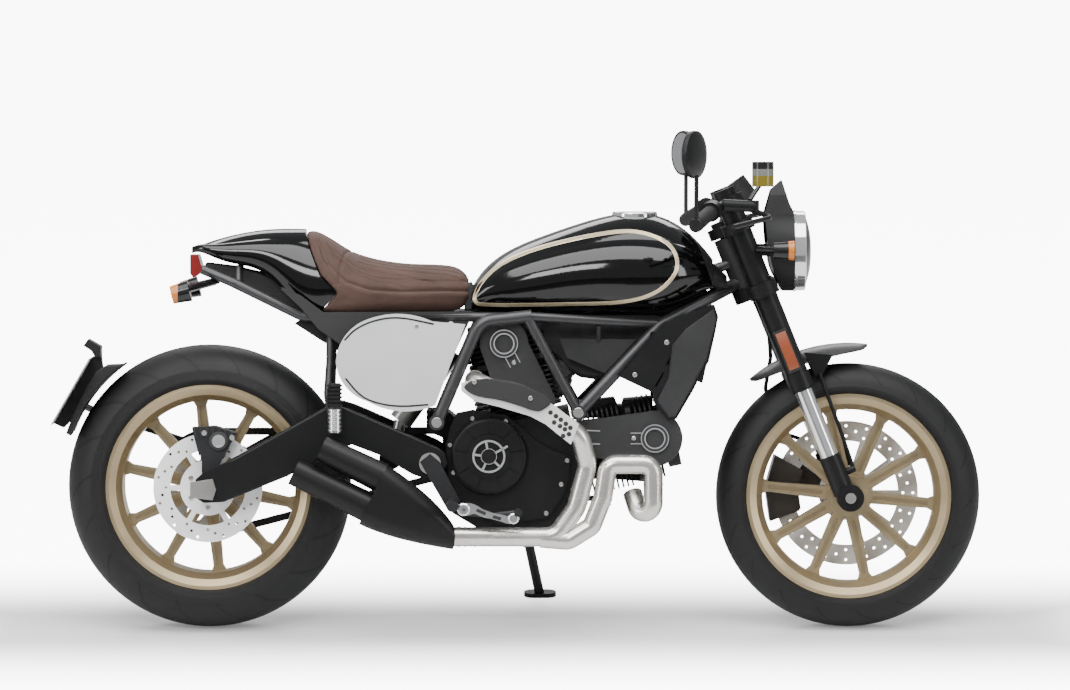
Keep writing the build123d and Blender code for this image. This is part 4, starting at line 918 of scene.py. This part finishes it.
class RACER_OT_front(bpy.types.Operator):
    """Reflectors, lamp rim, mirror glass and small fittings of the front end."""

    bl_idname = "racer.front"
    bl_label = "Front Fittings"

    def execute(self, context):
        up, forward, foot = fork_line()
        built = bmesh.new()
        backing = bmesh.new()
        for hand in HANDS:
            base = foot + Vector((0, FORK_Y * hand, 0))
            for target, low, high, back, front, y_low, y_high, bevel in (
                (built, 315, 402, -13, 11, 127.6, 130.6, 2.0),
                (backing, 309, 408, -16, 14, 122.0, 127.6, 0.0),
            ):
                corners = ((low, back), (low, front), (high, front), (high, back))
                corners = [base + up * along + forward * across for along, across in corners]
                self.box(target, corners, hand, y_low, y_high, bevel)
        add_piece("fork_reflectors", built, "reflector", "steering")
        add_piece("reflector_frames", backing, "black_plastic", "steering")
        built = bmesh.new()
        lathe(built, (619, 0, 846), (1, 0, 0), (
            (-1.0, 89.2), (-1.0, 90.6), (3, 91.4), (6, 90.8), (6, 89.2), (24, 89.4), (26.5, 86.5),
            (26.5, 81.5),
        ), 96)
        add_piece("lamp_rim", built, "bright_chrome", "steering")
        glass = bmesh.new()
        rim = bmesh.new()
        for hand in HANDS:
            way = Vector((-0.88, -0.47 * hand, 0)).normalized()
            centre = Vector((389, 400 * hand, 1064)) + way * 10
            lathe(glass, centre, way, ((0.2, 0.001), (0.5, 46.8)), 64)
            lathe(rim, centre, way, ((-2.0, 52.2), (0.4, 51.8), (1.4, 50.6), (1.4, 47.2), (0.2, 46.6)), 64)
            dome = ((-2.0, 52.1), (0.5, 51.2), (4.0, 44.0), (6.5, 30.0), (7.5, 14.0), (7.8, 0.001))
            lathe(rim, centre - way * 10, -way, dome, 64)
        add_piece("mirror_glass", glass, "mirror_silver", "steering")
        add_piece("mirror_rims", rim, "satin_shell", "steering")
        return {"FINISHED"}

    def box(self, target, corners, hand, y_low, y_high, bevel):
        """A plate on four corners, its outer face set in by a bevel."""
        middle = sum(corners, Vector()) / 4
        rings = []
        for y, inset in ((y_low, 0.0), (y_high - bevel / 2, 0.0), (y_high, bevel)):
            ring = []
            for corner in corners:
                away = corner - middle
                away.y = 0
                place = middle + away * (1 - inset / away.length)
                ring.append(target.verts.new(upright(place.x, y * hand, place.z)))
            rings.append(ring)
        loft(target, rings)


class RACER_OT_wheels(bpy.types.Operator):
    """Disc buttons and carrier bolts on both wheels."""

    bl_idname = "racer.wheels"
    bl_label = "Disc Bolts"

    def execute(self, context):
        for name, axle, y, hand, bolts, ring, body in (
            ("rear_disc_bolts", REAR_AXLE_UPRIGHT * 1000, -88.6, -1, 6, 44, "rear_wheel"),
            ("front_disc_bolts", FRONT_AXLE_UPRIGHT * 1000, 66.6, 1, 10, 50, "front_wheel"),
        ):
            built = bmesh.new()
            for step in range(bolts):
                turn = math.tau * (step + 0.5) / bolts
                place = (axle.x + ring * math.cos(turn), y, axle.z + ring * math.sin(turn))
                screw(built, place, (0, hand, 0), 5.5, 4.0)
            add_piece(name, built, "brushed_steel", body)
        return {"FINISHED"}


class RACER_OT_bay(bpy.types.Operator):
    """What fills the frame above the engine: airbox, throttle bodies, and the webs of the cylinder heads."""

    bl_idname = "racer.bay"
    bl_label = "Engine Bay"

    def execute(self, context):
        built = bmesh.new()
        box = rounded([
            (-10, 694), (40, 708), (300, 708), (346, 698), (322, 655), (255, 600), (190, 556), (122, 566),
            (66, 628), (6, 664),
        ], 1, closed=True)
        under = [
            (-96, 702), (-96, 722), (120, 722), (230, 731), (330, 738), (424, 768), (424, 748), (345, 706),
            (230, 702),
        ]
        plates(built, box, 0.0, 60.0, 8.0)
        plates(built, under, 0.0, 34.0, 4.0)
        for hand in HANDS:
            for x in range(60, 277, 36):
                band(built, [(x, 702), (x, 664)], 7.0, 59.0 * hand, 63.0 * hand)
        add_piece("airbox", built, "black_plastic", "chassis")
        built = bmesh.new()
        way = Vector((0.42, 0, 0.91))
        for y in (-30, 30):
            foot = Vector((74, y, 528))
            lathe(built, foot, way, (
                (0, 0.001), (0, 27), (14, 27), (16, 33), (44, 33), (48, 29), (92, 29), (92, 0.001),
            ), 32)
            for along in (8, 56):
                lathe(built, foot + way * along, way, ((0, 27), (0, 31.5), (7, 31.5), (7, 27)), 32)
        add_piece("throttle_bodies", built, "dark_metal", "chassis")
        built = bmesh.new()
        for outline in self.WEBS:
            plates(built, outline, 0.0, 46.0, 3.0)
        add_piece("head_webs", built, "fin_black", "chassis")
        built = bmesh.new()
        for hand in HANDS:
            plate(built, self.PANEL[::hand], 141.0 * hand, 146.5 * hand, 4.0)
        add_piece("shroud_panels", built, "cover_black", "chassis")
        return {"FINISHED"}

    WEBS = (
        [(138, 470), (138, 508), (216, 517), (222, 500), (236, 500), (238, 514), (302, 519), (302, 480)],
        [(205, 372), (205, 335), (290, 328), (290, 372)],
        [(-118, 642), (-60, 652), (-40, 560), (-100, 575)],
        [(20, 652), (46, 650), (92, 524), (60, 505)],
    )
    PANEL = [
        (344, 640), (374, 676), (436, 720), (442, 700), (435, 668), (421, 607), (400, 568), (386, 541),
        (351, 481), (336, 478), (309, 514), (334, 566),
    ]


class RACER_OT_tail(bpy.types.Operator):
    """Dark panels under the seat and behind it, and the small parts of the rear brake and the foot pegs."""

    bl_idname = "racer.tail"
    bl_label = "Tail Parts"
    TRAY = [
        (-704, 806), (-640, 781), (-560, 742), (-492, 706), (-460, 712), (-486, 752), (-520, 775),
        (-570, 797), (-640, 813), (-700, 820),
    ]
    NOSE = [(-120, 713), (-120, 768), (-106, 776), (-90, 752), (-86, 713)]
    HUGGER = [
        (-884, 592), (-905, 576), (-934, 547), (-960, 513), (-988, 470), (-1006, 431), (-1016, 437),
        (-992, 498), (-968, 545), (-947, 577), (-925, 590),
    ]
    BACKING = [(-310, 692), (-108, 692), (-146, 610), (-190, 512), (-262, 510), (-330, 560), (-338, 640)]

    def execute(self, context):
        built = bmesh.new()
        outline = [
            (-528, 762), (-486, 722), (-446, 673), (-390, 634), (-345, 640), (-326, 688), (-262, 702),
            (-104, 709), (-104, 713), (-436, 712), (-486, 750), (-528, 768),
        ]
        plates(built, outline, 107.6, 110.6, 1.5)
        for shape, reach in ((self.TRAY, 46), (self.NOSE, 66), (self.HUGGER, 33)):
            plates(built, shape, 0.0, reach, 5.0)
        plates(built, self.BACKING, 98.0, 101.0, 1.0)
        add_piece("tail_panels", built, "black_plastic", "chassis")
        built = bmesh.new()
        bright = bmesh.new()
        lathe(built, (-668, -116, 424), RIGHT, ((0, 22), (5, 21), (6, 19), (6, 0.001)), 36)
        foot = (-407, -172, 446)
        ring = ((-0.5, 15), (1.2, 14.6), (1.2, 11), (0.2, 10.6), (0.2, 0.001))
        lathe(bright, (-668, -122, 424), RIGHT, ring, 36)
        for x, z in ((-700, 442), (-638, 432), (-690, 350)):
            screw(bright, (x, -116, z), RIGHT, 6.5, 6.0)
        axle = Vector((REAR_AXLE_UPRIGHT.x, REAR_AXLE_UPRIGHT.z)) * 1000
        for turn in range(66, 104, 6):
            way = Vector((math.cos(math.radians(turn)), math.sin(math.radians(turn))))
            path = [tuple(axle + way * reach) for reach in (116, 138)]
            band(built, path, 3.2, -115.5, -119.5)
        add_piece("caliper_body", built, "engine_black", "chassis")
        for low, axis, rings in ((foot, (0, 0, 1), 6), ((-407, 250, 454), RIGHT, 8)):
            wave = [(-0.6, 0.001), (-0.6, 12), (0.5, 13.2)]
            for step in range(rings):
                at = 2 + step * 9
                wave += [(at, 13.2), (at + 1.5, 15.2), (at + 5, 15.2), (at + 6.5, 13.2)]
            lathe(bright, low, axis, wave, 28)
        add_piece("bright_fittings", bright, "bright_chrome", "chassis")
        built = bmesh.new()
        wave = []
        for step in range(6):
            at = 58 + step * 8.6
            wave += [(at, 13.2), (at + 2, 17.0), (at + 5, 17.0), (at + 7, 13.2)]
        lathe(built, foot, (0, 0, 1), wave, 28)
        add_piece("peg_rubber", built, "grip_rubber", "chassis")
        return {"FINISHED"}


class RACER_OT_guard(bpy.types.Operator):
    """The front mudguard: a thin blade that narrows to both ends, with its brackets and wire stays."""

    bl_idname = "racer.guard"
    bl_label = "Mudguard Blade"
    RADIUS, THICK = 342.8, 3.0
    START, SWEEP = 82.6, 47.8
    TIP_HALF, HALF = 8, 59.8
    TIP_DROP, DROP = 3.5, 23
    ROWS, COLUMNS = 32, 16

    def execute(self, context):
        axle = FRONT_AXLE_UPRIGHT * 1000
        built = bmesh.new()
        grids = [
            [self.row(built, axle, step / self.ROWS, skin) for step in range(self.ROWS + 1)]
            for skin in (0.0, self.THICK)
        ]
        for grid in grids:
            loft(built, grid, around=False, ends=False)
        for edge in (0, -1):
            loft(built, [[row[edge] for row in grid] for grid in grids], around=False, ends=False)
            loft(built, [grid[edge] for grid in grids], around=False, ends=False)
        blade = add_piece("mudguard_blade", built, "grey_shell", "steering")
        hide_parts("front_mudguard")
        up, forward, foot = fork_line()
        built = bmesh.new()
        bracket = [(640, 620), (705, 614), (682, 570), (666, 566), (655, 590)]
        for hand in HANDS:
            plate(built, bracket, 64.5 * hand, 67.5 * hand, 0.6)
            wire = ((674, 68, 574), (700, 70, 505), (724, 74, 440), (750, 77, 364))
            tube(built, [(x, y * hand, z) for x, y, z in wire], 4.4)
            start = Vector((625, 60 * hand, 590))
            run = foot + up * 300 + Vector((0, FORK_Y * hand, 0)) - start
            tube(built, [start, start + run * (run.length - 31) / run.length], 6)
        add_piece("mudguard_stays", built, "arm_black", "steering")
        return {"FINISHED"}

    def row(self, built, axle, share, skin):
        """Points across the blade at a share of its length, on its outer skin or its inner one."""
        turn = math.radians(self.START + self.SWEEP * share)
        full = max(math.sin(math.pi * share), 0.0)
        half = self.TIP_HALF + self.HALF * full ** 0.4
        drop = self.TIP_DROP + self.DROP * full ** 0.55
        points = []
        for step in range(self.COLUMNS + 1):
            across = 2 * step / self.COLUMNS - 1
            reach = self.RADIUS - skin - drop * abs(across) ** 2.2
            place = axle + Vector((reach * math.cos(turn), 0, reach * math.sin(turn)))
            points.append(built.verts.new(upright(place.x, (half - skin * 0.9) * across, place.z)))
        return points


class RACER_OT_stage(bpy.types.Operator):
    """Makes the pale floor, the soft lights and the camera."""

    bl_idname = "racer.stage"
    bl_label = "Build the Stage"
    GROUND_LINE = -0.185

    def execute(self, context):
        sizes = context.scene.racer_stage
        half = sizes.floor_size / 2
        front, back, rise, steps = -2.2, half * 0.5, 1.6, 10
        profile = [(front, 0.0), (back, 0.0)]
        for step in range(1, steps + 1):
            turn = math.pi / 2 * step / steps
            profile.append((back + rise * math.sin(turn), rise * (1 - math.cos(turn))))
        profile.append((back + rise, half * 0.7))
        self.sheet("studio_paper", profile, half, self.paper("studio_paper", 0.75, sizes.paper_glow))
        floor = self.paper("studio_floor", 0.05, sizes.paper_glow)
        self.sheet("studio_floor", [(-half, -0.004), (half, -0.004)], half, floor)
        world = bpy.data.worlds.new("studio")
        world.use_nodes = True
        g = Graph(world.node_tree)
        sight = g.node("ShaderNodeLightPath").outputs["Is Camera Ray"]
        seen = g.math("ADD", g.math("MULTIPLY", sight, sizes.paper_glow), sizes.sky)
        sky = g.node("ShaderNodeBackground", inputs={"Color": (0.96, 0.98, 1.0, 1.0), "Strength": seen})
        g.node("ShaderNodeOutputWorld", inputs={0: sky.outputs[0]})
        context.scene.world = world
        lights = (
            ("top", (0.0, -1.1, 4.4), (0.0, -0.15, 0.6), (5.6, 3.0), 1.0),
            ("key", (-2.2, -5.2, 4.6), (0.0, 0.0, 0.6), (2.6, 1.6), 0.55),
            ("side", (4.6, -3.0, 2.0), (0.2, 0.0, 0.6), (1.0, 3.0), 0.22),
            ("rear", (-4.6, -2.6, 2.0), (-0.2, 0.0, 0.6), (1.0, 3.0), 0.22),
            ("back", (0.0, 4.2, 3.2), (0.0, 0.0, 0.6), (4.5, 1.4), 0.35),
        )
        for name, place, aim, (wide, tall), share in lights:
            data = bpy.data.lights.new(f"{name}_light", "AREA")
            data.shape = "RECTANGLE"
            data.size, data.size_y = wide, tall
            data.energy = sizes.light_power * share
            new_object(f"{name}_light", data).matrix_world = self.aimed(Vector(place), Vector(aim))
        data = bpy.data.cameras.new("photo_view")
        data.lens, data.sensor_width, data.clip_end = sizes.lens, 36.0, 100.0
        camera = new_object("photo_view", data)
        start = PLACE @ Vector((sizes.camera_x, -sizes.camera_distance, sizes.camera_height))
        end = PLACE @ Vector((sizes.aim_x, 0.0, sizes.aim_height))
        camera.matrix_world = self.aimed(start, end)
        context.scene.camera = camera
        return {"FINISHED"}

    def aimed(self, start, end):
        """The placement of a light or a camera at one point, looking at another."""
        return Matrix.Translation(start) @ (end - start).to_track_quat("-Z", "Y").to_matrix().to_4x4()

    def paper(self, name, shade, glow):
        """Paper that glows for the camera alone: it stays white and lights nothing. Near the ground line
        under the machine the glow fades out and leaves a grey band, painted shade standing in for the shadow
        band under it, in which the real shadows show. Its back is clear.
        """
        material, g, shader, tint, surface = base_material(name, [shade] * 3, 0.0, 0.6, vary=0.01)
        sight = g.node("ShaderNodeLightPath").outputs["Is Camera Ray"]
        place = g.node("ShaderNodeTexCoord").outputs["Object"]
        x, y, z = g.node("ShaderNodeSeparateXYZ", inputs={0: place}).outputs
        # Painted shade: the glow fades out within about half a metre of the ground line and along the
        # machine's length, so a grey band lies on the floor under it, in which the real shadows show
        away = g.math("ABSOLUTE", g.math("SUBTRACT", y, self.GROUND_LINE))
        aside = g.math("MULTIPLY", g.math("SUBTRACT", g.math("ABSOLUTE", x), 1.0), 0.7)
        fade = g.node("ShaderNodeMapRange", interpolation_type="SMOOTHSTEP", inputs={
            "From Min": 0.08, "From Max": 0.62, "To Min": 0.02, "To Max": 1.0,
            "Value": g.math("MAXIMUM", away, aside),
        })
        g.feed(shader, {
            "Emission Strength": g.math("MULTIPLY", g.math("MULTIPLY", sight, glow), fade.outputs[0]),
            "Emission Color": (1.0, 1.0, 1.0, 1.0),
        })
        mix = g.node("ShaderNodeMixShader", inputs={
            0: g.node("ShaderNodeNewGeometry").outputs["Backfacing"], 1: shader.outputs[0],
            2: g.node("ShaderNodeBsdfTransparent").outputs[0],
        })
        leave = next(node for node in material.node_tree.nodes if node.type == "OUTPUT_MATERIAL")
        g.feed(leave, {0: mix.outputs[0]})
        return material

    def sheet(self, name, profile, half, look):
        """A stage surface: a profile in Y and Z, drawn out along X."""
        points = [(x, y, z) for y, z in profile for x in (-half, half)]
        faces = [(row, row + 1, row + 3, row + 2) for row in range(0, len(points) - 2, 2)]
        mesh = bpy.data.meshes.new(name)
        mesh.from_pydata(points, [], faces)
        shade_smooth(mesh)
        mesh.materials.append(look)
        new_object(name, mesh)


class RACER_PT_panel(bpy.types.Panel):
    """Buttons for each step of the finish."""

    bl_idname = "RACER_PT_panel"
    bl_label = "Cafe Racer"
    bl_space_type = "VIEW_3D"
    bl_region_type = "UI"
    bl_category = "Cafe Racer"

    def draw(self, context):
        for operator in OPERATORS:
            self.layout.operator(operator.bl_idname)


OPERATORS = (
    RACER_OT_finish, RACER_OT_tank, RACER_OT_seat, RACER_OT_covers, RACER_OT_plates, RACER_OT_pipes,
    RACER_OT_front, RACER_OT_wheels, RACER_OT_bay, RACER_OT_tail, RACER_OT_guard, RACER_OT_stage,
)
CLASSES = (StageSettings, *OPERATORS, RACER_PT_panel)


def register():
    for entry in CLASSES:
        bpy.utils.register_class(entry)
    bpy.types.Scene.racer_stage = bpy.props.PointerProperty(type=StageSettings)


def unregister():
    del bpy.types.Scene.racer_stage
    for entry in reversed(CLASSES):
        bpy.utils.unregister_class(entry)


def main():
    """Registers the add-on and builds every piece."""
    register()
    for operator in OPERATORS:
        group, name = operator.bl_idname.split(".")
        getattr(getattr(bpy.ops, group), name)()


if __name__ == "__main__":
    main()
